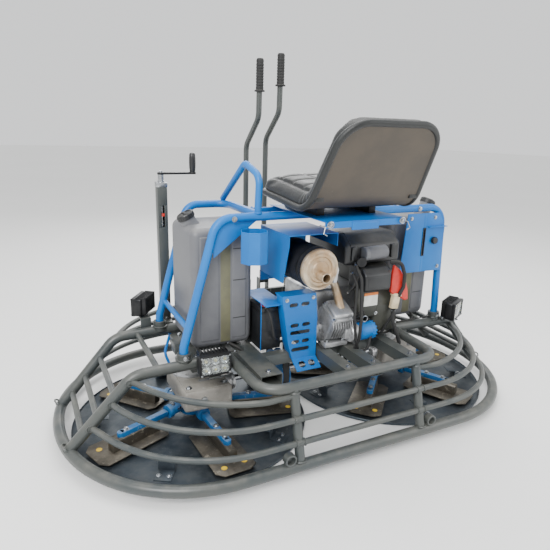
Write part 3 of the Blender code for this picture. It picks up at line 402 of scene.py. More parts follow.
# Rolled chequer plate under grey enamel: raised bars at right angles on a 30 mm pitch
def chequerPlate():
    mat, tree, shader = blank("chequer plate enamel", {"rough": 0.45, "metal": 0.2})
    place = addNode(tree, "ShaderNodeTexCoord").outputs["Object"]
    bars = []
    for turn in (45, -45):
        where = addNode(tree, "ShaderNodeMapping", values={"Rotation": (0, 0, math.radians(turn))},
                        links={"Vector": place})
        split = addNode(tree, "ShaderNodeSeparateXYZ", links={0: where.outputs[0]})
        along, over = (addNode(tree, "ShaderNodeMath", settings={"operation": "SINE"},
                               links={0: times(tree, split.outputs[k], math.tau / pitch)}).outputs[0]
                       for k, pitch in ((0, 0.06), (1, 0.03)))
        bars.append(times(tree, spread(tree, along, 0.1, 0.5), spread(tree, over, 0.55, 0.8)))
    tread = addNode(tree, "ShaderNodeMath", settings={"operation": "MAXIMUM"}, links={0: bars[0], 1: bars[1]})
    tone = mixed(tree, spread(tree, noiseOver(tree, place, 80), 0.35, 0.65), "#484e4f", "#5d5f5b")
    tree.links.new(mixed(tree, times(tree, tread.outputs[0], 0.6), tone, "#8e8d86"),
                   shader.inputs["Base Color"])
    tree.links.new(bumped(tree, tread.outputs[0], 1.5, 0.8), shader.inputs["Normal"])
    return mat


# Clear polycarbonate over each light
def clearLens():
    mat, tree, shader = blank("clear polycarbonate", {"rough": 0.06, "ior": 1.58, "clear": 0.9})
    place = addNode(tree, "ShaderNodeTexCoord").outputs["Object"]
    haze = noiseOver(tree, place, 12, 4.0)
    tree.links.new(mixed(tree, haze, "#f2f6f6", "#d9dedd"), shader.inputs["Base Color"])
    tree.links.new(spread(tree, haze, 0.3, 0.7, 0.04, 0.16), shader.inputs["Roughness"])
    return mat


# Phosphor chips: pale yellow with a domed silicone cover
def ledPhosphor():
    return finish("led phosphor", {
        "colour": "#e9dd9a", "second": "#f4ecc0", "rough": 0.2, "patchMm": 6, "scuff": "#c9b964",
        "scuffMm": 3, "scuffShare": 0.15, "scuffMix": 0.5, "grainMm": 0.8, "grainDepthMm": 0.03})


# Vacuum-coated reflector cups
def mirroredReflector():
    return finish("mirrored reflector", {
        "colour": "#e3e6e8", "second": "#cfd3d6", "rough": 0.12, "metal": 1.0, "patchMm": 10,
        "scuff": "#a9adb0", "scuffMm": 4, "scuffShare": 0.08, "scuffMix": 0.3, "grainMm": 1.0,
        "grainDepthMm": 0.02})


mats = {
    "guard": sprayedGuardEnamel(), "cover": splashedCoverEnamel(), "blue": bakedBluePowder(),
    "rotorBlue": cementedBlueEnamel(), "tank": rotomouldedPolyethylene(), "black": mouldedBlackPlastic(),
    "pan": rolledPanSteel(), "blade": oiledBladeSteel(), "shell": mouldedSeatPan(), "cast": castAluminium(),
    "exhaust": heatTintedSteel(), "plated": platedSteel(), "blacked": blackedSteel(),
    "rubber": mouldedRubber(),
    "shroud": sprayedShroud(), "red": mouldedRedPlastic(), "nylon": agedNylon(), "vinyl": grainedVinyl(),
    "wrap": perforatedWrap(), "tread": chequerPlate(), "lens": clearLens(), "led": ledPhosphor(),
    "mirror": mirroredReflector(), "strip": sightStrip(),
    "yellow": stickerVinyl("yellow sticker vinyl", "#d9b21c", "#e6c22f"),
    "white": stickerVinyl("white label vinyl", "#dfe0dc", "#cfd0ca"),
    "orange": stickerVinyl("orange label vinyl", "#d9701d", "#e47f2c"),
}
print("materials made:", len(mats))


# Shapes. Each adds a closed form to a growing bmesh

def absorb(bm, shape, mat):
    for face in shape.faces:
        face.material_index = mat
    mesh = bpy.data.meshes.new("shape")
    shape.to_mesh(mesh)
    shape.free()
    bm.from_mesh(mesh)
    bpy.data.meshes.remove(mesh)


def addBox(bm, x, y, z, bevel=0.0, mat=0, turn=None, segments=2):
    shape = bmesh.new()
    bmesh.ops.create_cube(shape, size=1.0)
    bmesh.ops.scale(shape, vec=(x[1] - x[0], y[1] - y[0], z[1] - z[0]), verts=shape.verts)
    if bevel:
        bmesh.ops.bevel(shape, geom=shape.edges[:], offset=bevel, segments=segments, profile=0.5,
                        affect="EDGES", material=-1)
    bmesh.ops.translate(shape, vec=((x[0] + x[1]) / 2, (y[0] + y[1]) / 2, (z[0] + z[1]) / 2),
                        verts=shape.verts)
    if turn is not None:
        bmesh.ops.transform(shape, matrix=turn, verts=shape.verts)
    absorb(bm, shape, mat)


def grownVerts(grown):
    return [v for v in grown["geom"] if isinstance(v, bmesh.types.BMVert)]


# An outline across the axis, pulled from low to high along it
def addPrism(bm, outline, axis, low, high, bevel=0.0, mat=0, turn=None, segments=2):
    shape = bmesh.new()
    places = {"x": lambda a, b: (low, a, b), "y": lambda a, b: (a, low, b), "z": lambda a, b: (a, b, low)}
    face = shape.faces.new([shape.verts.new(places[axis](a, b)) for a, b in outline])
    grown = bmesh.ops.extrude_face_region(shape, geom=[face])
    step = [0.0, 0.0, 0.0]
    step["xyz".index(axis)] = high - low
    bmesh.ops.translate(shape, vec=step, verts=grownVerts(grown))
    bmesh.ops.recalc_face_normals(shape, faces=shape.faces)
    if bevel:
        bmesh.ops.bevel(shape, geom=shape.edges[:], offset=bevel, segments=segments, profile=0.5,
                        affect="EDGES", material=-1)
    if turn is not None:
        bmesh.ops.transform(shape, matrix=turn, verts=shape.verts)
    absorb(bm, shape, mat)


def facing(axis):
    return Vector(axis).to_track_quat("Z", "Y").to_matrix().to_4x4()


def addRod(bm, start, end, radius, sides=24, endRadius=None, mat=0, bevel=0.0):
    start = Vector(start)
    run = Vector(end) - start
    shape = bmesh.new()
    last = radius if endRadius is None else endRadius
    bmesh.ops.create_cone(shape, cap_ends=True, segments=sides, radius1=radius, radius2=last,
                          depth=run.length)
    if bevel:
        rims = [e for e in shape.edges if abs(e.verts[0].co.z - e.verts[1].co.z) < 1e-6]
        bmesh.ops.bevel(shape, geom=rims, offset=bevel, segments=2, profile=0.5, affect="EDGES", material=-1)
    bmesh.ops.transform(shape, matrix=Matrix.Translation(start + run / 2) @ facing(run), verts=shape.verts)
    absorb(bm, shape, mat)


# A solid of revolution: pairs of (radius, distance along the axis)
def addTurned(bm, profile, centre, axis, steps=32, mat=0):
    shape = bmesh.new()
    points = [shape.verts.new((r, 0.0, h)) for r, h in profile]
    edges = [shape.edges.new(pair) for pair in zip(points, points[1:])]
    bmesh.ops.spin(shape, geom=points + edges, cent=(0, 0, 0), axis=(0, 0, 1), angle=math.tau, steps=steps,
                   use_merge=True)
    bmesh.ops.remove_doubles(shape, verts=shape.verts, dist=1e-6)
    bmesh.ops.recalc_face_normals(shape, faces=shape.faces)
    bmesh.ops.transform(shape, matrix=Matrix.Translation(centre) @ facing(axis), verts=shape.verts)
    absorb(bm, shape, mat)


# A round tube along a path, with filled ends
def addTube(bm, path, radius, sides=16, closed=False, mat=0):
    curve = bpy.data.curves.new("tube", "CURVE")
    curve.dimensions = "3D"
    curve.bevel_depth = radius
    curve.bevel_resolution = max(0, sides // 4 - 1) + 1
    curve.resolution_u = 1
    curve.use_fill_caps = True
    spline = curve.splines.new("POLY")
    spline.points.add(len(path) - 1)
    for point, place in zip(spline.points, path):
        point.co = (*place, 1.0)
    spline.use_cyclic_u = closed
    obj = bpy.data.objects.new("tube", curve)
    mesh = bpy.data.meshes.new_from_object(obj)
    shape = bmesh.new()
    shape.from_mesh(mesh)
    bmesh.ops.remove_doubles(shape, verts=shape.verts, dist=1e-6)
    bmesh.ops.recalc_face_normals(shape, faces=shape.faces)
    bpy.data.objects.remove(obj)
    bpy.data.curves.remove(curve)
    bpy.data.meshes.remove(mesh)
    absorb(bm, shape, mat)


# A path whose inner corners are rounded to a bend radius
def bent(corners, radius, steps=8):
    corners = [Vector(c) for c in corners]
    path = [corners[0]]
    for before, corner, after in zip(corners, corners[1:], corners[2:]):
        a = (before - corner).normalized()
        b = (after - corner).normalized()
        halfTurn = a.angle(b) / 2
        reach = min(radius / math.tan(halfTurn), 0.49 * (before - corner).length,
                    0.49 * (after - corner).length)
        arm = reach * math.tan(halfTurn)
        centre = corner + (a + b).normalized() * math.hypot(reach, arm)
        first = (corner + a * reach - centre).normalized()
        last = (corner + b * reach - centre).normalized()
        path += [centre + first.slerp(last, k / steps) * arm for k in range(steps + 1)]
    return path + [corners[-1]]


# A rippled weld bead round a tube's foot
def addBead(bm, centre, axis, radius, thick=0.0035, mat=0):
    turn = facing(axis)
    path = []
    for k in range(36):
        angle = math.tau * k / 36
        grown = radius + 0.0008 * math.sin(k * 2.1)
        path.append(Vector(centre) + turn @ Vector((grown * math.cos(angle), grown * math.sin(angle), 0)))
    addTube(bm, path, thick, 8, True, mat)


# A hexagon head on a washer
def addBolt(bm, place, axis, across=0.013, height=0.006, mat=0):
    place, axis = Vector(place), Vector(axis).normalized()
    addRod(bm, place, place + axis * 0.0015, across * 0.85, 20, mat=mat)
    addRod(bm, place + axis * 0.0015, place + axis * (0.0015 + height), across * 0.58, 6, mat=mat,
           bevel=0.0008)


def makePiece(bm, name, body, paints, replaced=(), sharp=32):
    mesh = bpy.data.meshes.new(name)
    bm.to_mesh(mesh)
    bm.free()
    for key in paints:
        mesh.materials.append(mats[key])
    mesh.shade_smooth()
    mesh.set_sharp_from_angle(angle=math.radians(sharp))
    obj = bpy.data.objects.new(name, mesh)
    bpy.context.scene.collection.objects.link(obj)
    if replaced:
        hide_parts(*replaced)
    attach(obj, body)
    return obj


def repaint(node, key):
    mesh = nodes[node].data
    mesh.materials.clear()
    mesh.materials.append(mats[key])


# Guard cage

guard = {"ringSteps": 26, "sides": 20, "railSides": 14, "bend": 0.09, "bead": 0.0035}


def ringEnd(a, b, straight, z, steps):
    power = 2 / 2.07
    turns = [math.pi / 2 * k / steps for k in range(steps + 1)]
    return [(straight + (a - straight) * math.sin(t) ** power, -b * max(0.0, math.cos(t)) ** power,
             z) for t in turns]


def ringPath(a, b, z):
    quarter = ringEnd(a, b, part["ringStraight"], z, guard["ringSteps"])
    right = quarter + [(x, -y, z) for x, y, z in reversed(quarter[:-1])]
    return right + [(-x, -y, z) for x, y, z in right]


def slopePath(side, end):
    return [(side * (half - 0.036), end * (sideY - 0.019), part["ringZ"]),
            (side * part["bendX"], end * sideY, frameZ - 0.01),
            (side * (part["legX"] + 0.02), end * sideY, frameZ)]


def upperPath(end):
    legX, reach = part["legX"], end * part["upperY"]
    return bent([(-legX - 0.01, end * sideY, frameZ), (-legX, reach, frameZ), (legX, reach, frameZ),
                 (legX + 0.02, end * sideY, frameZ)], 0.075, 10)


def railWidth(level):
    return part["ringB"] - rails[level][2]


def buildRing():
    bm = bmesh.new()
    addTube(bm, ringPath(part["ringA"], part["ringB"], part["ringZ"]), part["ringTube"], guard["sides"], True)
    for side in (-1, 1):
        for end in (-1, 1):
            x = side * (part["postX"] + part["postTube"] + 0.025)
            inner = end * (part["ringB"] - 0.01)
            addTurned(bm, [(0, 0), (0.021, 0), (0.021, 0.025), (0.02, 0.026), (0.016, 0.026), (0.015, 0.025),
                           (0.015, 0.011), (0, 0.011)], (x, inner, 0.088), (0, end, 0), 28)
            addBead(bm, (x, inner + end * 0.006, 0.0705), (0, 0, 1), 0.014)
            addBead(bm, (side * part["postX"], end * part["ringB"], 0.069), (0, -end * 0.25, 1), 0.018)
    makePiece(bm, "guard_ring_tube", "chassis", ["guard"], ["guard_ring"])


def endRail(side, end, level):
    z, inset, _, insetStraight = rails[level]
    quarter = ringEnd(part["ringA"] - inset, railWidth(level), part["ringStraight"] - insetStraight, z, 22)
    curve = [(side * x, -end * y, z) for x, y, z in quarter if -y > sideY + 0.02]
    foot, bend = (Vector(p) for p in slopePath(side, end)[:2])
    curve.append(tuple(foot.lerp(bend, (z - foot.z) / (bend.z - foot.z))))
    start = (side * part["postX"], end * railWidth(level), z)
    if level == 0:
        start = (side * part["postX"], end * (part["upperY"] + 0.007), z)
        curve = [p for p in curve if abs(p[0]) > part["legX"] - 0.02]
    return [start] + curve


def lampPlaces():
    bendX = part["bendX"]
    return {"rear_left": ((-bendX + 0.268, -sideY - 0.08, frameZ + 0.031), 0.0),
            "front_left": ((-bendX + 0.133, sideY + 0.07, frameZ + 0.101), -125.0),
            "rear_right": ((bendX - 0.043, -sideY - 0.06, frameZ + 0.073), 28.0),
            "front_right": ((bendX - 0.043, sideY + 0.07, frameZ + 0.101), 125.0)}


def buildEndGuard(word):
    side = sides[word]
    bm = bmesh.new()
    low, high = (Vector(p) for p in slopePath(side, 1)[:2])
    for end in (-1, 1):
        addTube(bm, bent(slopePath(side, end), guard["bend"], 12), part["ringTube"], guard["sides"])
        addBead(bm, (low.x, end * low.y, part["ringZ"] + 0.016), (-side * 0.6, 0, 0.7), 0.022)
        for level in range(3):
            path = endRail(side, end, level)
            addTube(bm, path, part["railTube"], guard["railSides"])
            if level:
                addBead(bm, Vector(path[0]) + Vector((side * 0.015, 0, 0)), (1, 0, 0), 0.0115, 0.0025)
            addBead(bm, Vector(path[-1]) + Vector((0, end * 0.019, 0)), (0, 1, 0), 0.0115, 0.0025)
        foot = part["leftFootX"] if side < 0 else part["rightFootX"]
        y = end * part["hoopY"]
        addTurned(bm, [(0, 0), (0.026, 0), (0.026, 0.04), (0.0245, 0.0415), (0.0175, 0.0415), (0.0165, 0.04),
                       (0.0165, 0.036), (0, 0.036)], (foot, y, frameZ), (0, 0, 1), 28)
        addBolt(bm, (foot, y + end * 0.026, frameZ + 0.03), (0, end, 0), 0.012, mat=1)
        addBead(bm, (foot, y, frameZ + 0.017), (0, 0, 1), 0.0265)
    for share in (0.22, 0.45, 0.72):
        foot = low.lerp(high, share)
        addRod(bm, foot, (foot.x, -foot.y, foot.z), part["railTube"], 16)
        for end in (-1, 1):
            addBead(bm, (foot.x, end * (foot.y - 0.02), foot.z), (0, 1, 0), 0.0115, 0.0025)
    inboard = side * (part["bendX"] - 0.09)
    addRod(bm, (inboard, -sideY, frameZ - 0.006), (inboard, sideY, frameZ - 0.006), part["railTube"], 16)
    for place, _ in lampPlaces().values():
        if place[0] * side > 0:
            x, y, z = place
            end = 1 if y > 0 else -1
            top = z - 0.0503
            weld = end * (sideY + 0.014)
            rise = sorted((frameZ - 0.012, top - 0.001))
            addBox(bm, (x - 0.022, x + 0.022), sorted((weld, weld + end * 0.006)), (rise[0] - 0.003, rise[1]),
                   0.001)
            addBox(bm, (x - 0.021, x + 0.021), sorted((weld + end * 0.001, y + end * 0.02)),
                   (top - 0.006, top), 0.001)
    makePiece(bm, word + "_end_guard_tubes", "chassis", ["guard", "plated"],
              [word + "_end_guard"])


def buildSideGuard(word, end):
    bm = bmesh.new()
    addTube(bm, upperPath(end), part["frameTube"], guard["sides"])
    for side in (-1, 1):
        foot = Vector((side * part["postX"], end * part["ringB"], part["ringZ"] + 0.018))
        top = Vector((side * part["postX"], end * part["upperY"], frameZ))
        addRod(bm, foot, top, part["postTube"], guard["sides"])
        addBead(bm, foot.lerp(top, 0.925), top - foot, 0.0178)
    for level in (1, 2):
        y, z = end * railWidth(level), rails[level][0]
        addRod(bm, (-part["postX"], y, z), (part["postX"], y, z), part["railTube"], 16)
        for side in (-1, 1):
            addBead(bm, (side * (part["postX"] - 0.0165), y, z), (1, 0, 0), 0.0115, 0.0025)
    makePiece(bm, word + "_guard_tubes", "chassis", ["guard"], [word + "_guard"])


buildRing()
for word in sides:
    buildEndGuard(word)
buildSideGuard("rear", -1)
buildSideGuard("front", 1)
print("guard cage built")


# Deck: square tube beams with open ends, a spine and two hangers

deck = {"beams": ((-0.298, 0.042, 0.40), (-0.012, 0.024, 0.478), (0.10, 0.024, 0.478), (0.275, 0.024, 0.478)),
        "wall": 0.004}


# A square tube along Y, open at both ends
def addHollowBeam(bm, x, y, z, wall):
    shape = bmesh.new()
    bmesh.ops.create_cube(shape, size=1.0)
    bmesh.ops.scale(shape, vec=(x[1] - x[0], y[1] - y[0], z[1] - z[0]), verts=shape.verts)
    bmesh.ops.translate(shape, vec=((x[0] + x[1]) / 2, (y[0] + y[1]) / 2, (z[0] + z[1]) / 2),
                        verts=shape.verts)
    ends = [f for f in shape.faces if abs(f.normal.y) > 0.9]
    bmesh.ops.inset_individual(shape, faces=ends, thickness=wall, depth=0.0)
    for face in ends:
        inward = -0.09 * face.normal
        grown = bmesh.ops.extrude_face_region(shape, geom=[face])
        bmesh.ops.translate(shape, vec=inward, verts=grownVerts(grown))
        shape.faces.remove(face)
    bmesh.ops.recalc_face_normals(shape, faces=shape.faces)
    absorb(bm, shape, 0)


def buildDeck():
    bm = bmesh.new()
    low = part["beamTop"] - 0.05
    railY = sideY + 0.04
    addBox(bm, (-part["rotorX"] - 0.05, part["rotorX"] + 0.05), (0.02, 0.08), (low - 0.012, low + 0.035),
           0.003)
    for side in (-1, 1):
        x = side * part["rotorX"]
        addBox(bm, (x - 0.035, x + 0.035), (-sideY + 0.026, sideY - 0.026), (low - 0.012, low + 0.025), 0.003)
        addBox(bm, (-part["legX"] + 0.045, part["legX"] - 0.045), (side * railY - 0.02, side * railY + 0.02),
               (low, low + 0.045), 0.003)
        for y in (-0.1, 0.14):
            addBolt(bm, (x, y, low + 0.025), (0, 0, 1), 0.014, mat=1)
    for x, half, reach in deck["beams"]:
        addHollowBeam(bm, (x - half, x + half), (-reach, reach), (low + 0.005, part["beamTop"]), deck["wall"])
        for end in (-1, 1):
            addBolt(bm, (x, end * (reach - 0.03), part["beamTop"]), (0, 0, 1), 0.012, mat=1)
    makePiece(bm, "deck_beams", "chassis", ["guard", "plated"], ["main_frame"])


buildDeck()
repaint("footplate", "tread")
repaint("lever_fork", "guard")
repaint("throttle_pedal", "tread")
print("deck built")


# Blue upper frame

hoop = {"bend": 0.075, "sides": 20, "loopTube": 0.013}


def hoopPath(y):
    footZ, hoopZ = part["hoopFootZ"], part["hoopZ"]
    left, right = part["leftFootX"], part["rightFootX"]
    return bent([(left, y, footZ - 0.006), (left, y, footZ + 0.02), (left + 0.128, y, hoopZ),
                 (right - 0.022, y, hoopZ),
                 (right, y, footZ + 0.02), (right, y, footZ - 0.006)], hoop["bend"], 12)


def sidePath(side):
    y, footZ, hoopZ = part["hoopY"], part["hoopFootZ"], part["hoopZ"]
    foot = part["leftFootX"] if side < 0 else part["rightFootX"]
    top = foot + (0.128 if side < 0 else -0.022)
    inner = part["seatX"] - 0.265 if side < 0 else part["seatX"] + 0.355
    return bent([(foot, y, footZ - 0.006), (foot, y, footZ + 0.02), (top, y, hoopZ), (inner, y, hoopZ),
                 (inner, -y + 0.014, hoopZ)], 0.06, 10)


def buildHoop():
    bm = bmesh.new()
    y, tube, hoopZ = -part["hoopY"], part["hoopTube"], part["hoopZ"]
    addTube(bm, hoopPath(y), tube, hoop["sides"])
    braceZ = 0.44
    braceX = part["leftFootX"] + 0.128 * (braceZ - part["hoopFootZ"]) / (hoopZ - part["hoopFootZ"])
    addRod(bm, (braceX, y, braceZ), (braceX, part["hoopY"] - tube - 0.0003, braceZ), 0.011, 16)
    addTube(bm, bent([(-0.263, y, hoopZ), (-0.263, y - 0.012, 0.985), (-0.263, -0.06, 1.022),
                      (-0.263, part["hoopY"] - 0.004, hoopZ + tube + 0.006)], 0.045, 10), hoop["loopTube"],
                      16)
    addBead(bm, (-0.263, y, hoopZ + tube - 0.002), (0, 0, 1), 0.014)
    left = part["leftFootX"] + 0.128
    addPrism(bm, [(left - 0.012, 0.70), (left + 0.17, hoopZ), (left + 0.02, hoopZ), (left - 0.02, 0.78)], "y",
             y - 0.002, y + 0.002, 0.0008)
    addBolt(bm, (left + 0.06, y - tube - 0.001, hoopZ - 0.002), (0, -1, 0), 0.012, mat=1)
    addBolt(bm, (part["rightFootX"] - 0.16, y - tube, hoopZ), (0, -1, 0), 0.012, mat=1)
    makePiece(bm, "rear_hoop_tubes", "chassis", ["blue", "plated"], ["rear_hoop"])


def buildSideFrame(word):
    side = sides[word]
    bm = bmesh.new()
    addTube(bm, sidePath(side), part["hoopTube"], hoop["sides"])
    if side < 0:
        y, seatX = -0.05, part["seatX"]
        addRod(bm, (seatX - 0.265, y, part["hoopZ"]), (seatX + 0.3387, y, part["hoopZ"]),
               part["hoopTube"] - 0.002, 20)
        addBead(bm, (seatX - 0.2495, y, part["hoopZ"]), (1, 0, 0), 0.0145, 0.003)
    makePiece(bm, word + "_side_tubes", "chassis", ["blue"], [word + "_side_frame"])


def buildCupHolder():
    bm = bmesh.new()
    radius = 0.05
    shape = bmesh.new()
    bmesh.ops.create_cone(shape, cap_ends=True, segments=8, radius1=radius, radius2=radius, depth=0.113)
    bmesh.ops.rotate(shape, cent=(0, 0, 0), matrix=Matrix.Rotation(0.0, 3, "Z"), verts=shape.verts)
    top = [f for f in shape.faces if f.normal.z > 0.9]
    bmesh.ops.inset_individual(shape, faces=top, thickness=0.0028, depth=0.0)
    bmesh.ops.translate(shape, vec=(0, 0, -0.108), verts=list({v for f in top for v in
                        bmesh.ops.extrude_discrete_faces(shape, faces=[f])["faces"][0].verts}))
    bmesh.ops.recalc_face_normals(shape, faces=shape.faces)
    bmesh.ops.translate(shape, vec=(-0.305, -part["hoopY"] - 0.0023 - radius - part["hoopTube"], 0.7465),
                        verts=shape.verts)
    absorb(bm, shape, 0)
    centre = Vector((-0.305, -part["hoopY"] - 0.0023 - radius - part["hoopTube"], 0.802))
    rim = [centre + Vector((0.0492 * math.cos(math.tau * k / 8 + math.pi / 2),
                            0.0492 * math.sin(math.tau * k / 8 + math.pi / 2), 0)) for k in range(8)]
    addTube(bm, rim, 0.0016, 8, True)
    makePiece(bm, "cup_holder_folded", "chassis", ["blue"], ["cup_holder"], 25)


def buildRightPanel():
    bm = bmesh.new()
    back = -part["hoopY"] - part["hoopTube"] - 0.001
    right = part["rightFootX"] - 0.013
    gate = (right - 0.12, right - 0.108)
    # the plate in strips round its lever slot
    addPrism(bm, [(right - 0.23, 0.565), (right - 0.21, 0.82), (gate[0], 0.82), (gate[0], 0.5625)], "y",
             back - 0.003, back, 0.0006)
    addPrism(bm, [(gate[1], 0.5625), (gate[1], 0.82), (right - 0.035, 0.82), (right, 0.76), (right, 0.56)],
             "y", back - 0.003, back, 0.0006)
    addBox(bm, (gate[0] - 0.001, gate[1] + 0.001), (back - 0.003, back), (0.755, 0.82), 0.0004)
    addBox(bm, (gate[0] - 0.001, gate[1] + 0.001), (back - 0.003, back), (0.5625, 0.635), 0.0004)
    addBox(bm, (right - 0.10, right), (back - 0.02, back - 0.0015), (0.7595, 0.7625), 0.0008)
    # black edge strip pushed on round the slot
    for x in gate:
        addBox(bm, (x - 0.0022, x + 0.0022), (back - 0.0055, back + 0.002), (0.633, 0.757), 0.001, 1)
    for z in (0.635, 0.755):
        addBox(bm, (gate[0] - 0.002, gate[1] + 0.002), (back - 0.0055, back + 0.002), (z - 0.002, z + 0.002),
               0.001, 1)
    addTurned(bm, [(0, 0), (0.013, 0), (0.0155, 0.004), (0.0155, 0.014), (0.013, 0.018), (0, 0.0185)],
              (right - 0.06, back - 0.003, 0.70), (0, -1, 0), 24, 1)
    for x, z in ((right - 0.19, 0.80), (right - 0.06, 0.80), (right - 0.02, 0.58)):
        addBolt(bm, (x, back - 0.003, z), (0, -1, 0), 0.010, 0.004, mat=2)
    makePiece(bm, "rear_right_panel_folded", "chassis", ["blue", "black", "plated"],
              ["rear_right_panel"])


buildHoop()
for word in sides:
    buildSideFrame(word)
buildCupHolder()
buildRightPanel()
print("blue frame built")


# Tanks: rotomoulded, with a channel let into the rear face

tankValues = {"wide": 0.24, "deep": 0.28, "high": 0.46, "floor": 0.338, "round": 0.03}
tankX = {"left": part["leftFootX"] + 0.167, "right": part["rightFootX"] - 0.148}
neckPlace = {"left": (-0.005, 0.055), "right": (-0.10, 0.085)}


def buildTank(word):
    side = sides[word]
    v = tankValues
    top = v["floor"] + v["high"]
    middle, y = tankX[word], -0.005
    bm = bmesh.new()
    addBox(bm, (middle - v["wide"] / 2, middle + v["wide"] / 2),
           (y - v["deep"] / 2 + 0.004, y + v["deep"] / 2), (v["floor"], top), v["round"], segments=6)
    # raised bands either side of the channel on the rear face
    rear = y - v["deep"] / 2
    for x0, x1 in ((middle - 0.092, middle - 0.016), (middle + 0.032, middle + 0.092)):
        addBox(bm, (x0, x1), (rear + 0.0003, rear + 0.02), (v["floor"] + 0.03, top - 0.028), 0.006,
               segments=3)
    addBox(bm, (middle - 0.012, middle + 0.028), (rear + 0.003, rear + 0.02), (v["floor"] + 0.02, top - 0.02),
           0.002, 1)
    for z in (0.45, 0.60, 0.72):
        addBox(bm, (middle + 0.036, middle + 0.088), (rear - 0.0002, rear + 0.01), (z - 0.002, z + 0.002),
               0.001, 2)
    for z in (top - 0.11, v["floor"] + 0.12):
        x = middle + side * v["wide"] / 2
        addBox(bm, sorted((x - side * 0.004, x - side * 0.0002)), (y - 0.09, y + 0.09),
               (z - 0.012, z + 0.012), 0.0018)
    tilt = Vector((side * 0.45, 0.0, 0.893)).normalized()
    placeY, length = neckPlace[word]
    foot = Vector((middle + side * (v["wide"] / 2 - 0.05), placeY, top - 0.03))
    addTurned(bm, [(0, 0), (0.036, 0), (0.034, length * 0.45), (0.030, length * 0.6), (0.030, length),
                   (0, length)],
              foot, tilt, 28)
    makePiece(bm, word + "_tank_moulding", "chassis", ["tank", "strip", "black"],
              [word + "_tank"], 40)
    foot += tilt * (length + 0.0003)
    cap = bmesh.new()
    addTurned(cap, [(0, 0), (0.0325, 0), (0.0325, 0.017), (0.030, 0.0205), (0.024, 0.0215), (0.023, 0.019),
                    (0, 0.019)], foot, tilt, 36)
    turn = Matrix.Translation(foot) @ facing(tilt)
    for k in range(20):
        addBox(cap, (0.0315, 0.0338), (-0.0018, 0.0018), (0.001, 0.017), 0.0006,
               turn=turn @ Matrix.Rotation(math.tau * k / 20, 4, "Z"), segments=1)
    addBox(cap, (-0.024, 0.024), (-0.004, 0.004), (0.018, 0.0235), 0.0015, turn=turn)
    makePiece(cap, word + "_tank_cap_ribbed", word + "_filler", ["black"],
              [word + "_tank_cap"])


for word in sides:
    buildTank(word)
print("tanks built")


# Rotors: float pan, spider with yokes, five arms with blades, pitch lever

rotor = {"blades": 5, "hubR": 0.055, "armRoot": 0.125, "armLong": 0.345, "bladeThick": 0.004}


def rotorCentre(word):
    return Vector((sides[word] * part["rotorX"], part["rotorY"], 0.0))


def bearing(word, k):
    return math.radians(bladeStart[word] + 360 / rotor["blades"] * k)


def armTurn(centre, word, k):
    raised = centre + Vector((0, 0, part["armZ"]))
    return Matrix.Translation(raised) @ Matrix.Rotation(bearing(word, k), 4, "Z")


def buildPan(word):
    centre, panR = rotorCentre(word), part["panR"]
    bm = bmesh.new()
    addTurned(bm, [(0, 0), (panR - 0.006, 0), (panR - 0.002, 0.0012), (panR, 0.004), (panR, 0.0105),
                   (panR - 0.001, 0.012),
                   (panR - 0.003, 0.012), (panR - 0.004, 0.0105), (panR - 0.0065, 0.006),
                   (panR - 0.008, 0.005), (0, 0.005)], centre, (0, 0, 1), 96)
    for k in range(rotor["blades"]):
        turn = Matrix.Translation(centre) @ Matrix.Rotation(bearing(word, k + 0.5), 4, "Z")
        addPrism(bm, [(0.325, 0.036), (0.36, 0.036), (0.36, 0.0045), (0.42, 0.0045), (0.42, 0.0078),
                      (0.364, 0.0078), (0.364, 0.0398), (0.325, 0.0398)], "y", -0.03, 0.03, 0.001, turn=turn)
        for y in (-0.018, 0.018):
            addBolt(bm, turn @ Vector((0.395, y, 0.0078)), (0, 0, 1), 0.011, 0.004, mat=1)
    makePiece(bm, word + "_float_pan_spun", word + "_rotor", ["pan", "plated"],
              [word + "_float_pan"])


def buildSpider(word):
    centre = rotorCentre(word)
    bm = bmesh.new()
    addTurned(bm, [(0, 0.03), (0.047, 0.03), (0.05, 0.033), (0.055, 0.043), (0.055, 0.088), (0.060, 0.093),
                   (0.073, 0.095), (0.075, 0.097), (0.075, 0.106), (0.073, 0.108), (0, 0.108)], centre,
                   (0, 0, 1), 40)
    for k in range(rotor["blades"]):
        turn = armTurn(centre, word, k)
        addRod(bm, turn @ Vector((0.03, 0, 0)), turn @ Vector((rotor["armRoot"], 0, 0)), 0.021, 24,
               bevel=0.0015)
        addRod(bm, turn @ Vector((0.105, 0, 0)), turn @ Vector((rotor["armRoot"] - 0.0004, 0, 0)), 0.0265, 24,
               bevel=0.0015)
        addBolt(bm, turn @ Vector((0.095, 0, 0.0205)), turn.to_3x3() @ Vector((0, 0, 1)), 0.010, 0.005, mat=1)
        addBolt(bm, turn @ Matrix.Rotation(math.radians(36), 4, "Z") @ Vector((0.064, 0, 0.038)), (0, 0, 1),
                0.009, 0.004, mat=1)
        addRod(bm, turn @ Vector((0.085, 0.018, 0.005)), turn @ Vector((0.085, 0.036, 0.018)), 0.005, 10,
               mat=1)
    makePiece(bm, word + "_spider_cast", word + "_rotor", ["rotorBlue", "plated"],
              [word + "_spider"])


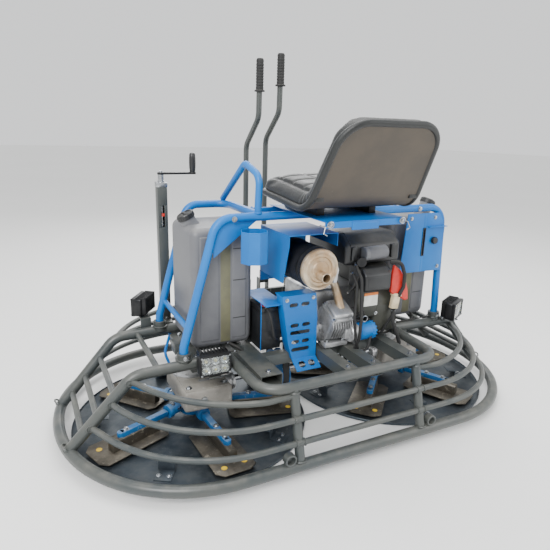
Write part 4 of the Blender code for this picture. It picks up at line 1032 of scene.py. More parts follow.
def buildArm(word, k):
    centre = rotorCentre(word)
    turn = armTurn(centre, word, k)
    tip = part["panR"] - 0.022
    bottom = 0.0205 - part["armZ"] - 0.004
    bm = bmesh.new()
    addPrism(bm, [(0.15, -0.06), (0.165, -0.08), (tip - 0.03, -0.085), (tip - 0.004, -0.06), (tip, 0.035),
                  (tip - 0.02, 0.065), (0.17, 0.065), (0.15, 0.04)], "z", bottom, bottom + 0.004, 0.0006, 1,
                  turn)
    # pressed stiffener along the blade, with a rolled top
    addPrism(bm, [(-0.018, bottom + 0.003), (-0.0155, -0.013), (-0.011, -0.006), (0.011, -0.006),
                  (0.0155, -0.013),
                  (0.018, bottom + 0.003)], "x", 0.17, rotor["armLong"] + 0.03, 0.001, 1, turn)
    addBox(bm, (rotor["armRoot"] + 0.0035, rotor["armLong"] - 0.012), (-0.013, 0.013), (-0.011, 0.011), 0.003,
           0, turn)
    end = rotor["armLong"] - 0.013
    addRod(bm, turn @ Vector((end, 0, -0.011)), turn @ Vector((end, 0, 0.011)), 0.013, 20, bevel=0.0015)
    for x in (rotor["armLong"] - 0.035, 0.235):
        addBolt(bm, turn @ Vector((x, 0, 0.011)), (0, 0, 1), 0.013, 0.006, mat=3)
    dots = ((tip - 0.045, -0.045), (tip - 0.05, 0.035)) if k % 2 else ((tip - 0.045, -0.04),)
    for x, y in dots:
        addRod(bm, turn @ Vector((x, y, bottom + 0.0039)), turn @ Vector((x, y, bottom + 0.0048)), 0.0105, 24,
               mat=2)
    makePiece(bm, f"{word}_arm_and_blade_{k + 1}", f"{word}_arm_{k + 1}",
              ["rotorBlue", "blade", "yellow", "plated"], [f"{word}_blade_{k + 1}"])


def buildGearbox(word):
    side = sides[word]
    middle = side * part["rotorX"]
    coverX = middle - side * 0.02
    rotorY = part["rotorY"]
    bm = bmesh.new()
    addBox(bm, (coverX - 0.095, coverX + 0.095), (rotorY - 0.165, rotorY + 0.11), (0.114, 0.197), 0.012,
           segments=4)
    addBox(bm, (coverX - 0.087, coverX + 0.087), (rotorY - 0.157, rotorY + 0.102), (0.19, 0.201), 0.003)
    addTurned(bm, [(0, 0.195), (0.072, 0.195), (0.072, 0.205), (0.06, 0.209), (0.058, 0.245), (0.06, 0.2577),
                   (0, 0.2577)], (middle, rotorY + 0.01, 0), (0, 0, 1), 32, 1)
    inner = side * (part["rotorX"] - 0.145)
    addRod(bm, (middle, part["shaftY"], 0.175), (inner, part["shaftY"], 0.175), 0.028, 24, mat=1, bevel=0.003)
    addRod(bm, (inner + side * 0.012, part["shaftY"], 0.175), (inner + side * 0.001, part["shaftY"], 0.175),
           0.034, 24, mat=1, bevel=0.002)
    addRod(bm, (middle, rotorY, 0.12), (middle, rotorY, 0.1085), 0.035, 28, mat=1)
    for x, y in ((-0.07, -0.135), (0.07, -0.135), (-0.07, 0.085), (0.07, 0.085)):
        addBolt(bm, (coverX + x, rotorY + y, 0.201), (0, 0, 1), 0.014, 0.006, mat=2)
    addRod(bm, (coverX - 0.02, rotorY - 0.165, 0.16), (coverX - 0.02, rotorY - 0.172, 0.16), 0.012, 20, mat=2,
           bevel=0.001)
    # curved lever that passes the crank's pull to the pitch plate
    addTube(bm, bent([(middle + side * 0.05, rotorY + 0.12, 0.17),
                      (middle + side * 0.07, rotorY + 0.14, 0.235),
                      (middle + side * 0.024, part["towerY"] - 0.075, 0.285)], 0.03, 8), 0.006, 12, mat=3)
    makePiece(bm, word + "_gearbox_cover", "chassis", ["cover", "cast", "plated", "blue"],
              [word + "_gearbox"])


def buildCrossShaft():
    bm = bmesh.new()
    x, y, z = part["pulleyX"], part["shaftY"], part["shaftZ"]
    reach = part["rotorX"] - 0.1453
    addRod(bm, (-reach, y, z), (reach, y, z), 0.0125, 20, mat=1)
    addTurned(bm, [(0, -0.018), (0.087, -0.018), (0.087, -0.015), (0.0785, -0.0138), (0.0785, 0.0138),
                   (0.087, 0.015),
                   (0.087, 0.018), (0.078, 0.018), (0.074, 0.014), (0.034, 0.014), (0.031, 0.018),
                   (0, 0.018)],
              (x, y, z), (1, 0, 0), 48)
    for k in range(4):
        turn = Matrix.Translation((x, y, z)) @ Matrix.Rotation(math.tau * k / 4, 4, "X")
        addBolt(bm, turn @ Vector((-0.018, 0.022, 0)), (-1, 0, 0), 0.009, 0.004, mat=1)
    for side in (-1, 1):
        u = side * 0.22
        addRod(bm, (u - 0.03, y, z), (u + 0.03, y, z), 0.021, 24, mat=2, bevel=0.002)
        for turnZ in (0, 1):
            a = (0, 0.0, 0.026) if turnZ else (0, 0.026, 0.0)
            addRod(bm, (u, y - a[1], z - a[2]), (u, y + a[1], z + a[2]), 0.007, 12, mat=1)
    makePiece(bm, "cross_shaft_and_pulley", "cross_drive", ["rotorBlue", "plated", "blacked"],
              ["cross_shaft"])
    clutch = bmesh.new()
    z = part["crankZ"]
    addTurned(clutch, [(0, -0.018), (0.063, -0.018), (0.063, -0.015), (0.0545, -0.0138), (0.0545, 0.0138),
                       (0.063, 0.015), (0.063, 0.018), (0.055, 0.018), (0.051, 0.012), (0.024, 0.012),
                       (0.022, 0.018), (0, 0.018)], (x, y, z), (1, 0, 0), 44)
    for k in range(3):
        turn = Matrix.Translation((x, y, z)) @ Matrix.Rotation(math.tau * k / 3, 4, "X")
        addRod(clutch, turn @ Vector((-0.018, 0.035, 0)), turn @ Vector((-0.0205, 0.035, 0)), 0.008, 16,
               mat=1)
    makePiece(clutch, "clutch_pulley_turned", "clutch", ["cast", "blacked"],
              ["clutch_pulley"])
    repaint("drive_belt", "rubber")


# The red grease cap on the left gearbox
def buildGreaseCap():
    bm = bmesh.new()
    centre = rotorCentre("left")
    foot = centre + Vector((-0.045, -0.185, 0.165))
    addTurned(bm, [(0, 0), (0.008, 0), (0.009, 0.002), (0.009, 0.012), (0.006, 0.015), (0, 0.0155)], foot,
              (0, -0.5, 1), 20)
    addRod(bm, foot - Vector((0, -0.02, 0.004)), foot, 0.005, 12, mat=1)
    makePiece(bm, "gearbox_grease_cap", "chassis", ["red", "plated"])


for word in sides:
    buildPan(word)
    buildSpider(word)
    for k in range(rotor["blades"]):
        buildArm(word, k)
    buildGearbox(word)
buildCrossShaft()
buildGreaseCap()
print("rotors and drive built")


# Crank towers, pitch cranks, levers

tower = {"side": 0.04, "slotZ": (0.74, 0.83), "reach": 0.135, "armZ": 0.958}


def buildTower(word):
    side = sides[word]
    x, y, top = side * part["towerX"], part["towerY"], part["towerTop"]
    h = tower["side"] / 2
    z0, z1 = tower["slotZ"]
    bm = bmesh.new()
    wall = 0.003
    for sx in (-1, 1):
        addBox(bm, sorted((x + sx * h, x + sx * (h - wall))), (y - h, y + h), (0.30, top - 0.004), 0.0009)
    addBox(bm, (x - h + 0.001, x + h - 0.001), (y + h - wall, y + h), (0.30, top - 0.004), 0.0009)
    for z in ((0.30, z0), (z1, top - 0.004)):
        addBox(bm, (x - h + 0.001, x + h - 0.001), (y - h, y - h + wall), z, 0.0009)
    for sx in (-1, 1):
        addBox(bm, sorted((x + sx * (h - 0.001), x + sx * 0.006)), (y - h, y - h + wall),
               (z0 - 0.002, z1 + 0.002), 0.0006)
    addBox(bm, (x - h - 0.002, x + h + 0.002), (y - h - 0.002, y + h + 0.002), (top - 0.02, top), 0.003, 1)
    addBox(bm, (x - h, x + h), (sideY + 0.022, y), (0.30, 0.33), 0.002)
    addRod(bm, (x, y, 0.32), (x, y, top - 0.02), 0.0085, 16, mat=1)
    addBox(bm, (x - 0.0055, x + 0.0055), (y - h - 0.0028, y - h + 0.01), (0.785, 0.797), 0.001, 2)
    for z in (0.335, 0.42):
        addBolt(bm, (x, y - h, z), (0, -1, 0), 0.011, 0.004, mat=1)
    makePiece(bm, word + "_tower_box", "chassis", ["guard", "plated", "red"],
              [word + "_crank_tower"])


def buildCrank(word):
    side = sides[word]
    x, y, armZ = side * part["towerX"], part["towerY"], tower["armZ"]
    bm = bmesh.new()
    addTurned(bm, [(0, 0), (0.0145, 0), (0.0145, 0.004), (0.012, 0.006), (0.012, 0.031), (0, 0.031)],
              (x, y, part["towerTop"] + 0.0003), (0, 0, 1), 24, 1)
    ends = sorted((x + side * 0.004, x - side * tower["reach"]))
    addBox(bm, ends, (y - 0.011, y + 0.011), (armZ - 0.003, armZ + 0.006), 0.0025)
    for px in (x, x - side * tower["reach"]):
        addRod(bm, (px, y, armZ - 0.003), (px, y, armZ + 0.006), 0.0145, 24, bevel=0.002)
    addBolt(bm, (x, y, armZ + 0.006), (0, 0, 1), 0.012, 0.006, mat=1)
    px = x - side * tower["reach"]
    addRod(bm, (px, y, armZ), (px, y, armZ + 0.084), 0.005, 14, mat=1)
    makePiece(bm, word + "_crank_arm", word + "_crank", ["blacked", "plated"],
              [word + "_pitch_crank"])
    grip = bmesh.new()
    profile = [(0.0056, 0), (0.011, 0), (0.012, 0.002), (0.0135, 0.02), (0.014, 0.035), (0.0135, 0.058),
               (0.0125, 0.072), (0.009, 0.0775), (0.0056, 0.078), (0.0056, 0)]
    addTurned(grip, profile, (px, y, armZ + 0.0065), (0, 0, 1), 28)
    makePiece(grip, word + "_crank_grip_turned", word + "_crank_handle", ["black"],
              [word + "_crank_grip"])


def leverPath(side):
    x, y = side * part["leverX"], part["leverY"]
    foot = 0.40 if side < 0 else 0.435
    drop = 0.028 if side < 0 else 0.0
    return [(x, y, foot), (x, y, 1.10 - drop), (x, y - 0.135, 1.22 - drop), (x, y - 0.14, 1.46 - drop)]


def buildLever(word):
    side = sides[word]
    path = leverPath(side)
    bm = bmesh.new()
    addTube(bm, bent(path, 0.06, 12), 0.0125, 20)
    x, y, top = path[-1]
    profile = [(0, 0), (0.022, 0), (0.023, 0.0015), (0.023, 0.0045), (0.022, 0.006), (0.0165, 0.0085)]
    for k in range(9):
        z = 0.014 + 0.0115 * k
        profile += [(0.0168, z), (0.0168, z + 0.006), (0.0155, z + 0.0075), (0.0155, z + 0.0095)]
    profile += [(0.0165, 0.125), (0.015, 0.131), (0.012, 0.1345), (0, 0.135)]
    addTurned(bm, profile, (x, y, top - 0.131), (0, 0, 1), 32, 1)
    footX, footY, footZ = path[0]
    if side < 0:
        addRod(bm, (footX - 0.0205, footY, footZ), (footX + 0.0205, footY, footZ), 0.014, 20, mat=0,
               bevel=0.001)
    else:
        addRod(bm, (footX, footY - 0.012, footZ), (footX, footY + 0.012, footZ), 0.014, 20, mat=0,
               bevel=0.001)
    makePiece(bm, word + "_lever_tube", word + "_control", ["guard", "rubber"],
              [word + "_lever"])


for word in sides:
    buildTower(word)
    buildCrank(word)
    buildLever(word)
print("controls built")


# Work lamps: finned housing, bezel, six lights behind a clear lens

lampValues = {"wide": 0.058, "ledR": 0.0115, "fins": 9}


def buildLamp(key, place, turnDegrees):
    turn = Matrix.Translation(place) @ Matrix.Rotation(math.radians(turnDegrees), 4, "Z")
    w = lampValues["wide"]
    bm = bmesh.new()
    addBox(bm, (-w, w), (-0.020, 0.020), (-0.043, 0.035), 0.008, 0, turn, 3)
    # raised rim round the lens
    for x in ((-w, -w + 0.007), (w - 0.007, w)):
        addBox(bm, x, (-0.028, -0.012), (-0.043, 0.035), 0.0025, 0, turn)
    for z in ((-0.043, -0.036), (0.028, 0.035)):
        addBox(bm, (-w + 0.002, w - 0.002), (-0.028, -0.012), z, 0.0025, 0, turn)
    count = lampValues["fins"]
    for k in range(count):
        x = -0.05 + 0.1 * k / (count - 1)
        addBox(bm, (x - 0.0013, x + 0.0013), (-0.008, 0.036), (-0.034, 0.0395), 0.0006, 0, turn)
    for x in (-0.034, 0.0, 0.034):
        for z in (-0.021, 0.013):
            foot = turn @ Vector((x, -0.0195, z))
            ahead = turn.to_3x3() @ Vector((0, -1, 0))
            addTurned(bm, [(0, 0), (0.0145, 0), (0.0155, 0.004), (0.0145, 0.0042), (0.0105, 0.001),
                           (0, 0.001)], foot,
                      ahead, 24, 1)
            addTurned(bm, [(0, 0), (0.0055, 0), (0.0055, 0.002), (0.004, 0.0035), (0, 0.004)],
                      foot + ahead * 0.001, ahead, 16, 2)
    addBox(bm, (-w + 0.0065, w - 0.0065), (-0.0258, -0.0235), (-0.0365, 0.0285), 0.0008, 3, turn)
    for x in (-w + 0.006, w - 0.006):
        for z in (-0.037, 0.029):
            addBolt(bm, turn @ Vector((x, -0.028, z)), turn.to_3x3() @ Vector((0, -1, 0)), 0.0045, 0.0015,
                    mat=4)
    addRod(bm, turn @ Vector((0, 0, -0.05)), turn @ Vector((0, 0, -0.04)), 0.008, 16, mat=4)
    makePiece(bm, key + "_lamp_housing", key + "_light",
              ["blacked", "mirror", "led", "lens", "plated"], [key + "_lamp"])


for key, (place, turnDegrees) in lampPlaces().items():
    buildLamp(key, place, turnDegrees)
print("lamps built")


# Engine: crankcase, two finned cylinders, shroud, covers, filter, hoses

engine = {"shroudLeft": 0.2155, "shroudWide": 0.12, "filter": (-0.291, 0.375), "cleanerFloor": 0.6405,
          "mufflerAxis": (-0.083, 0.664), "wrapRadius": 0.0768, "fins": 9, "finThick": 0.0026,
          "finReach": 0.062, "rear": ((0.055, -0.24, 0.418), 28.0, 0.075),
          "front": ((0.055, 0.035, 0.475), -42.0, 0.095)}


def addCylinder(bm, centre, tiltDegrees, reach):
    turn = Matrix.Translation(centre) @ Matrix.Rotation(math.radians(tiltDegrees), 4, "X")
    addBox(bm, (-0.048, 0.048), (-0.047, 0.047), (-reach, reach - 0.02), 0.012, 0, turn, 3)
    corner = 0.018
    for k in range(engine["fins"]):
        x = -0.044 + 0.088 * k / (engine["fins"] - 1)
        d = engine["finReach"] + 0.004 * math.sin(k / (engine["fins"] - 1) * math.pi)
        low, high = -reach + 0.02, reach - 0.036
        outline = [(-d, low + corner), (-d + corner, low), (d - corner, low), (d, low + corner),
                   (d, high - corner), (d - corner, high), (-d + corner, high), (-d, high - corner)]
        addPrism(bm, outline, "x", x, x + engine["finThick"], 0.0008, 0, turn, 1)
    top = reach - 0.022
    addBox(bm, (-0.05, 0.05), (-0.054, 0.054), (top - 0.012, top + 0.004), 0.008, 0, turn)
    addBox(bm, (-0.044, 0.044), (-0.046, 0.046), (top, top + 0.022), 0.01, 1, turn, 3)
    for x in (-0.042, 0.042):
        for y in (-0.045, 0.045):
            addBolt(bm, turn @ Vector((x, y, top + 0.004)), turn.to_3x3() @ Vector((0, 0, 1)), 0.010, 0.005,
                    mat=2)
    plug = turn @ Vector((0.052, -0.03, top - 0.004))
    out = turn.to_3x3() @ Vector((0.75, -0.35, 0.55))
    addRod(bm, plug, plug + out * 0.03, 0.0075, 16, mat=3)
    addRod(bm, plug + out * 0.022, plug + out * 0.048, 0.0095, 16, mat=3, bevel=0.002)


def buildEngineBlock():
    bm = bmesh.new()
    base = part["beamTop"] + 0.0003
    addBox(bm, (-0.03, 0.215), (-0.185, 0.04), (base, 0.53), 0.014, segments=3)
    addBox(bm, (-0.02, 0.20), (-0.22, -0.17), (base + 0.002, 0.40), 0.012, segments=3)
    for k in range(5):
        x = 0.0 + 0.045 * k
        addBox(bm, (x - 0.002, x + 0.002), (-0.228, -0.16), (base + 0.01, 0.385), 0.0015, segments=1)
    addBox(bm, (-0.035, 0.218), (-0.20, 0.043), (0.395, 0.403), 0.002)
    for name in ("rear", "front"):
        addCylinder(bm, *engine[name])
    y, z = part["shaftY"], part["crankZ"]
    addTurned(bm, [(0, 0), (0.06, 0), (0.06, 0.028), (0.047, 0.034), (0.044, 0.05), (0.036, 0.085),
                   (0.031, 0.087), (0.0125, 0.087), (0.0125, 0.1), (0, 0.1)], (-0.0, y, z), (-1, 0, 0), 32)
    for k in range(6):
        turn = Matrix.Translation((-0.028, y, z)) @ Matrix.Rotation(math.tau * k / 6, 4, "X")
        addBolt(bm, turn @ Vector((0, 0.053, 0)), (-1, 0, 0), 0.009, 0.005, mat=2)
    # cast face that carries the oil filter, and its drain boss
    addTurned(bm, [(0, 0), (0.034, 0), (0.037, 0.004), (0.037, 0.034), (0, 0.034)], (0.09, *engine["filter"]),
              (1, 0, 0), 30)
    addBox(bm, (0.07, 0.115), (-0.30, -0.20), (0.352, 0.398), 0.006)
    addBox(bm, (-0.01, 0.095), (-0.285, -0.245), (base + 0.002, base + 0.022), 0.004)
    for x in (0.005, 0.08):
        addBolt(bm, (x, -0.268, base + 0.022), (0, 0, 1), 0.013, 0.007, mat=2)
    addTube(bm, [(0.165 + 0.012 * math.cos(math.tau * k / 20), -0.292,
                  0.425 + 0.012 * math.sin(math.tau * k / 20))
                 for k in range(20)], 0.0022, 8, True, 2)
    addRod(bm, (0.165, -0.285, 0.41), (0.14, -0.23, 0.41), 0.006, 14, mat=2)
    makePiece(bm, "engine_castings", "chassis", ["cast", "cast", "plated", "rubber"],
              ["engine_block"])


def buildOilFilter():
    bm = bmesh.new()
    profile = [(0, 0), (0.028, 0), (0.0335, 0.003), (0.0358, 0.009), (0.0358, 0.055), (0.0345, 0.0575),
               (0.0345, 0.062), (0.0358, 0.064), (0.0358, 0.073), (0.0335, 0.079), (0.028, 0.083), (0, 0.083)]
    addTurned(bm, profile, (0.125, *engine["filter"]), (1, 0, 0), 40)
    for k in range(14):
        turn = Matrix.Translation((0.193, *engine["filter"])) @ Matrix.Rotation(math.tau * k / 14, 4, "X")
        addBox(bm, (-0.005, 0.0135), (-0.003, 0.003), (0.0345, 0.0365), 0.0008, 0, turn, 1)
    makePiece(bm, "oil_filter_can", "chassis", ["blue"], ["oil_filter"])


def buildShroud():
    left = engine["shroudLeft"]
    outline = [(-0.27, 0.345), (-0.10, 0.335), (0.06, 0.36), (0.09, 0.50), (0.02, 0.62), (-0.12, 0.64),
               (-0.24, 0.60), (-0.285, 0.48)]
    bm = bmesh.new()
    addPrism(bm, outline, "x", left, left + engine["shroudWide"], 0.014, 0, None, 4)
    # sheet wrapped round the rear cylinder, carrying the label
    addPrism(bm, [(0.135, 0.43), (0.225, 0.425), (0.23, 0.545), (0.21, 0.575), (0.15, 0.575), (0.128, 0.54)],
             "y", -0.284, -0.255, 0.006, 0, None, 3)
    addPrism(bm, [(-0.25, 0.36), (-0.13, 0.36), (-0.10, 0.47), (-0.13, 0.57), (-0.22, 0.56), (-0.262, 0.47)],
             "x", left + 0.118, left + 0.128, 0.004)
    fan = (left + 0.129, -0.115, 0.48)
    for k in range(6):
        addTurned(bm, [(0.02 + 0.014 * k, 0), (0.022 + 0.014 * k, 0.003), (0.026 + 0.014 * k, 0.003),
                       (0.028 + 0.014 * k, 0), (0.02 + 0.014 * k, 0)], fan, (1, 0, 0), 36, 1)
    addBox(bm, (0.160, 0.226), (-0.2852, -0.284), (0.474, 0.529), 0.0004, 2, segments=1)
    addBox(bm, (0.160, 0.226), (-0.2856, -0.284), (0.518, 0.5295), 0.0004, 3, segments=1)
    for x, z in ((0.143, 0.445), (0.222, 0.44), (0.20, 0.56)):
        addBolt(bm, (x, -0.284, z), (0, -1, 0), 0.009, 0.004, mat=4)
    # ignition cover, plain
    addPrism(bm, [(-0.318, 0.548), (-0.305, 0.54), (-0.20, 0.54), (-0.20, 0.637), (-0.29, 0.637),
                  (-0.318, 0.61)], "x",
             0.136, 0.262, 0.009, 1, None, 3)
    addBox(bm, (0.148, 0.25), (-0.3195, -0.30), (0.558, 0.605), 0.003, 1)
    makePiece(bm, "fan_shroud", "chassis", ["shroud", "black", "white", "orange", "plated"],
              ["blower_housing"])


def buildRedGuard():
    bm = bmesh.new()
    outer = [(0.278, 0.642), (0.312, 0.616), (0.340, 0.575), (0.356, 0.53), (0.362, 0.490)]
    inner = [(0.346, 0.486), (0.322, 0.500), (0.292, 0.512), (0.270, 0.528), (0.270, 0.60)]
    addPrism(bm, outer + inner, "y", -0.312, -0.296, 0.0045, 0, None, 3)
    addTube(bm, bent([(0.262, -0.30, 0.655), (0.300, -0.322, 0.655), (0.322, -0.322, 0.60),
                      (0.322, -0.322, 0.55), (0.306, -0.315, 0.51)], 0.03, 8), 0.0075, 14, mat=1)
    turn = Matrix.Translation((0.297, -0.306, 0.490)) @ Matrix.Rotation(math.radians(8), 4, "Y")
    addBox(bm, (-0.017, 0.017), (-0.010, 0.010), (-0.032, 0.032), 0.003, 2, turn)
    addBox(bm, (-0.020, 0.020), (-0.012, 0.012), (0.020, 0.030), 0.002, 2, turn)
    addTube(bm, bent([(0.300, -0.306, 0.46), (0.292, -0.30, 0.42), (0.270, -0.27, 0.34)], 0.03, 8), 0.0055,
            12, mat=1)
    makePiece(bm, "red_hose_guard", "chassis", ["red", "rubber", "nylon"])


def buildAirCleaner():
    z = engine["cleanerFloor"]
    bm = bmesh.new()
    outline = [(-0.255, z), (0.03, z), (0.03, z + 0.09), (-0.02, z + 0.12), (-0.20, z + 0.12),
               (-0.255, z + 0.08)]
    addPrism(bm, outline, "x", 0.075, 0.345, 0.016, 0, None, 4)
    addPrism(bm, [(y, h + 0.001) for y, h in outline], "x", 0.1, 0.104, 0.001, 0)
    for x in (0.115, 0.305):
        addBox(bm, (x - 0.012, x + 0.012), (-0.262, -0.24), (z + 0.02, z + 0.075), 0.003, 0)
    profile = [(0, 0), (0.024, 0), (0.027, 0.003)]
    profile += [(0.0272, 0.014), (0.0262, 0.016), (0.0262, 0.020), (0.0272, 0.022), (0.0272, 0.104),
                (0.024, 0.108), (0, 0.109)]
    addTurned(bm, profile, (0.150, -0.268, z + 0.047), (1, 0, 0.03), 32, 1)
    addTurned(bm, [(0, 0), (0.016, 0), (0.019, 0.002), (0.019, 0.01), (0, 0.01)], (0.140, -0.275, z + 0.018),
              (-0.4, -1, 0), 24, 2)
    makePiece(bm, "air_cleaner_moulded", "chassis", ["black", "tank", "blacked"],
              ["air_cleaner"])


def buildMuffler():
    x, z = engine["mufflerAxis"]
    bm = bmesh.new()
    uvLayer = "wrap"
    shape = bmesh.new()
    bmesh.ops.create_cone(shape, cap_ends=False, segments=64, radius1=engine["wrapRadius"],
                          radius2=engine["wrapRadius"], depth=0.196)
    layer = shape.loops.layers.uv.new(uvLayer)
    for face in shape.faces:
        middle = face.calc_center_median()
        for loop in face.loops:
            p = loop.vert.co
            angle = math.atan2(p.y, p.x)
            if angle - math.atan2(middle.y, middle.x) > math.pi:
                angle -= math.tau
            elif math.atan2(middle.y, middle.x) - angle > math.pi:
                angle += math.tau
            loop[layer].uv = (angle * engine["wrapRadius"], p.z)
    bmesh.ops.solidify(shape, geom=shape.faces[:], thickness=0.0015)
    bmesh.ops.recalc_face_normals(shape, faces=shape.faces)
    lying = Matrix.Translation((x, -0.222, z)) @ Matrix.Rotation(math.pi / 2, 4, "X")
    bmesh.ops.transform(shape, matrix=lying, verts=shape.verts)
    mesh = bpy.data.meshes.new("muffler_wrap")
    shape.to_mesh(mesh)
    shape.free()
    mesh.materials.append(mats["wrap"])
    mesh.shade_smooth()
    mesh.set_sharp_from_angle(angle=math.radians(35))
    wrap = bpy.data.objects.new("muffler_wrap", mesh)
    bpy.context.scene.collection.objects.link(wrap)
    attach(wrap, "chassis")
    # can with a stepped end cap: rear face at -0.34
    profile = [(0, 0), (0.030, 0), (0.034, 0.003), (0.046, 0.004), (0.049, 0.001), (0.058, 0.0),
               (0.062, 0.003),
               (0.070, 0.006), (0.0742, 0.004), (0.0765, 0.008), (0.0765, 0.016), (0.0745, 0.018),
               (0.0745, 0.214), (0.07, 0.22), (0, 0.22)]
    addTurned(bm, profile, (x, -0.34, z), (0, 1, 0), 56)
    outlet = (x - 0.002, -0.338, z - 0.02)
    addTurned(bm, [(0.0, 0.004), (0.0158, 0.004), (0.0158, 0.046), (0.0172, 0.0465), (0.0182, 0.045),
                   (0.0182, 0.0), (0.0, 0.0)], outlet, (0, -1, 0), 32)
    # black disc at the floor of the outlet's bore: painted shade standing for the open pipe beyond
    addRod(bm, (outlet[0], outlet[1] - 0.004, outlet[2]), (outlet[0], outlet[1] - 0.006, outlet[2]), 0.0156,
           24, mat=1)
    addTube(bm, bent([(-0.06, -0.21, z - 0.04), (-0.02, -0.215, z - 0.078), (0.05, -0.225, z - 0.085),
                      (0.06, -0.272, 0.475)], 0.03, 10), 0.0165, 20)
    # cast bracket on the right of the can
    addPrism(bm, [(x + 0.055, z + 0.055), (x + 0.085, z + 0.035), (x + 0.105, z - 0.02),
                  (x + 0.098, z - 0.07),
                  (x + 0.083, z - 0.07), (x + 0.086, z - 0.03), (x + 0.070, z + 0.01)], "y", -0.30, -0.288,
                  0.0025, 2)
    addBolt(bm, (x + 0.088, -0.30, z - 0.012), (0, -1, 0), 0.010, 0.005, mat=3)
    for y in (-0.30, -0.15):
        addTurned(bm, [(0.0772, 0), (0.0790, 0.0005), (0.0790, 0.0095), (0.0772, 0.01), (0.0772, 0)],
                  (x, y, z), (0, 1, 0), 56, 1)
    makePiece(bm, "muffler_can", "chassis", ["exhaust", "blacked", "cast", "plated"],
              ["muffler"])


def buildBeltGuardFlange():
    left = -0.195
    bm = bmesh.new()
    edge = [(left, 0.549), (left + 0.03, 0.36), (left + 0.05, 0.291)]
    addPrism(bm, edge + [(a + 0.003, b) for a, b in reversed(edge)], "y", -0.2618, -0.212, 0.0007)
    for x, z in ((-0.062, 0.535), (-0.175, 0.535)):
        addBolt(bm, (x, -0.2625, z), (0, -1, 0), 0.009, 0.004, mat=1)
    addBolt(bm, (-0.075, -0.284, 0.277), (0, -0.5, 0.8), 0.010, 0.005, mat=1)
    makePiece(bm, "belt_guard_flange", "chassis", ["blue", "plated"])
    repaint("belt_guard", "blue")
    repaint("muffler_hood", "blue")


def buildBattery():
    bm = bmesh.new()
    top = 0.494
    addBox(bm, (-0.25, -0.165), (-0.20, -0.03), (part["beamTop"] + 0.001, top - 0.02), 0.004)
    addBox(bm, (-0.252, -0.163), (-0.202, -0.028), (top - 0.021, top), 0.004)
    for k in range(6):
        y = -0.185 + 0.025 * k
        addRod(bm, (-0.208, y, top), (-0.208, y, top + 0.003), 0.007, 16, bevel=0.001)
    for x, paint in ((-0.232, 2), (-0.182, 0)):
        addRod(bm, (x, -0.186, top), (x, -0.186, top + 0.012), 0.0075, 18, mat=1, bevel=0.001)
        addBox(bm, (x - 0.012, x + 0.012), (-0.199, -0.172), (top + 0.004, top + 0.014), 0.003, paint)
    addBox(bm, (-0.2525, -0.163), (-0.245, -0.03), (0.5125, 0.516), 0.001, 3)
    addBox(bm, (-0.2525, -0.249), (-0.2015, -0.198), (part["beamTop"] + 0.002, 0.514), 0.0012, 3)
    for z in (0.36, 0.40, 0.44):
        addBox(bm, (-0.2455, -0.17), (-0.2012, -0.199), (z - 0.002, z + 0.002), 0.001)
    makePiece(bm, "battery_case", "chassis", ["black", "plated", "red", "blue"], ["battery"])


# Hoses and leads, each clipped at both ends
hoses = {
    "engine_hoses": ("rubber", [
        (0.0065, [(0.119, -0.262, 0.652), (0.116, -0.318, 0.60), (0.112, -0.340, 0.45), (0.108, -0.341, 0.37),
                  (0.104, -0.315, 0.30), (0.085, -0.30, 0.272)]),
        (0.0055, [(0.106, -0.262, 0.62), (0.102, -0.312, 0.58), (0.088, -0.328, 0.45), (0.096, -0.336, 0.36),
                  (0.130, -0.32, 0.29), (0.155, -0.30, 0.268)]),
        (0.008, [(0.300, -0.296, 0.455), (0.297, -0.306, 0.40), (0.314, -0.32, 0.345), (0.333, -0.318, 0.30),
                 (0.35, -0.29, 0.285)]),
        (0.006, [(0.20, -0.26, 0.42), (0.185, -0.315, 0.37), (0.16, -0.33, 0.31), (0.12, -0.30, 0.275)]),
        (0.005, [(0.15, -0.255, 0.635), (0.13, -0.29, 0.62), (0.10, -0.29, 0.565), (0.09, -0.262, 0.53)]),
        (0.0045, [(-0.03, -0.24, 0.345), (-0.005, -0.29, 0.31), (0.04, -0.315, 0.275),
                  (0.075, -0.30, 0.26)])]),
    "battery_leads": ("rubber", [
        (0.0055, [(-0.232, -0.198, 0.503), (-0.228, -0.236, 0.47), (-0.21, -0.232, 0.38),
                  (-0.17, -0.20, 0.345), (-0.06, -0.17, 0.335)]),
        (0.0055, [(-0.182, -0.198, 0.503), (-0.165, -0.222, 0.50), (-0.16, -0.215, 0.44),
                  (-0.15, -0.15, 0.34)])]),
    "right_tank_lines": ("rubber", [
        (0.0055, [(0.47, -0.10, 0.345), (0.44, -0.16, 0.335), (0.38, -0.155, 0.33), (0.345, -0.12, 0.36)]),
        (0.005, [(0.55, -0.12, 0.343), (0.53, -0.17, 0.338), (0.45, -0.19, 0.31), (0.33, -0.20, 0.30),
                 (0.24, -0.21, 0.335)])]),
    "left_tank_lines": ("rubber", [
        (0.0055, [(-0.36, -0.12, 0.345), (-0.33, -0.165, 0.335), (-0.30, -0.165, 0.305),
                  (-0.26, -0.12, 0.30)])]),
    "lamp_leads": ("rubber", [
        (0.003, [(-0.437, -0.248, 0.288), (-0.425, -0.216, 0.290), (-0.414, -0.196, 0.334),
                 (-0.40, -0.185, 0.338), (-0.345, -0.195, 0.335)]),
        (0.003, [(0.663, -0.232, 0.330), (0.653, -0.206, 0.332), (0.64, -0.188, 0.3385),
                 (0.40, -0.187, 0.337)])]),
}


def buildHoses():
    for name, (paint, routes) in hoses.items():
        bm = bmesh.new()
        for radius, route in routes:
            path = bent(route, 0.035, 7)
            addTube(bm, path, radius, 12)
            for end, inner in ((path[0], path[1]), (path[-1], path[-2])):
                along = (Vector(inner) - Vector(end)).normalized()
                addRod(bm, Vector(end) + along * 0.008, Vector(end) + along * 0.013, radius + 0.0013, 14,
                       mat=1)
        makePiece(bm, name, "chassis", [paint, "plated"])


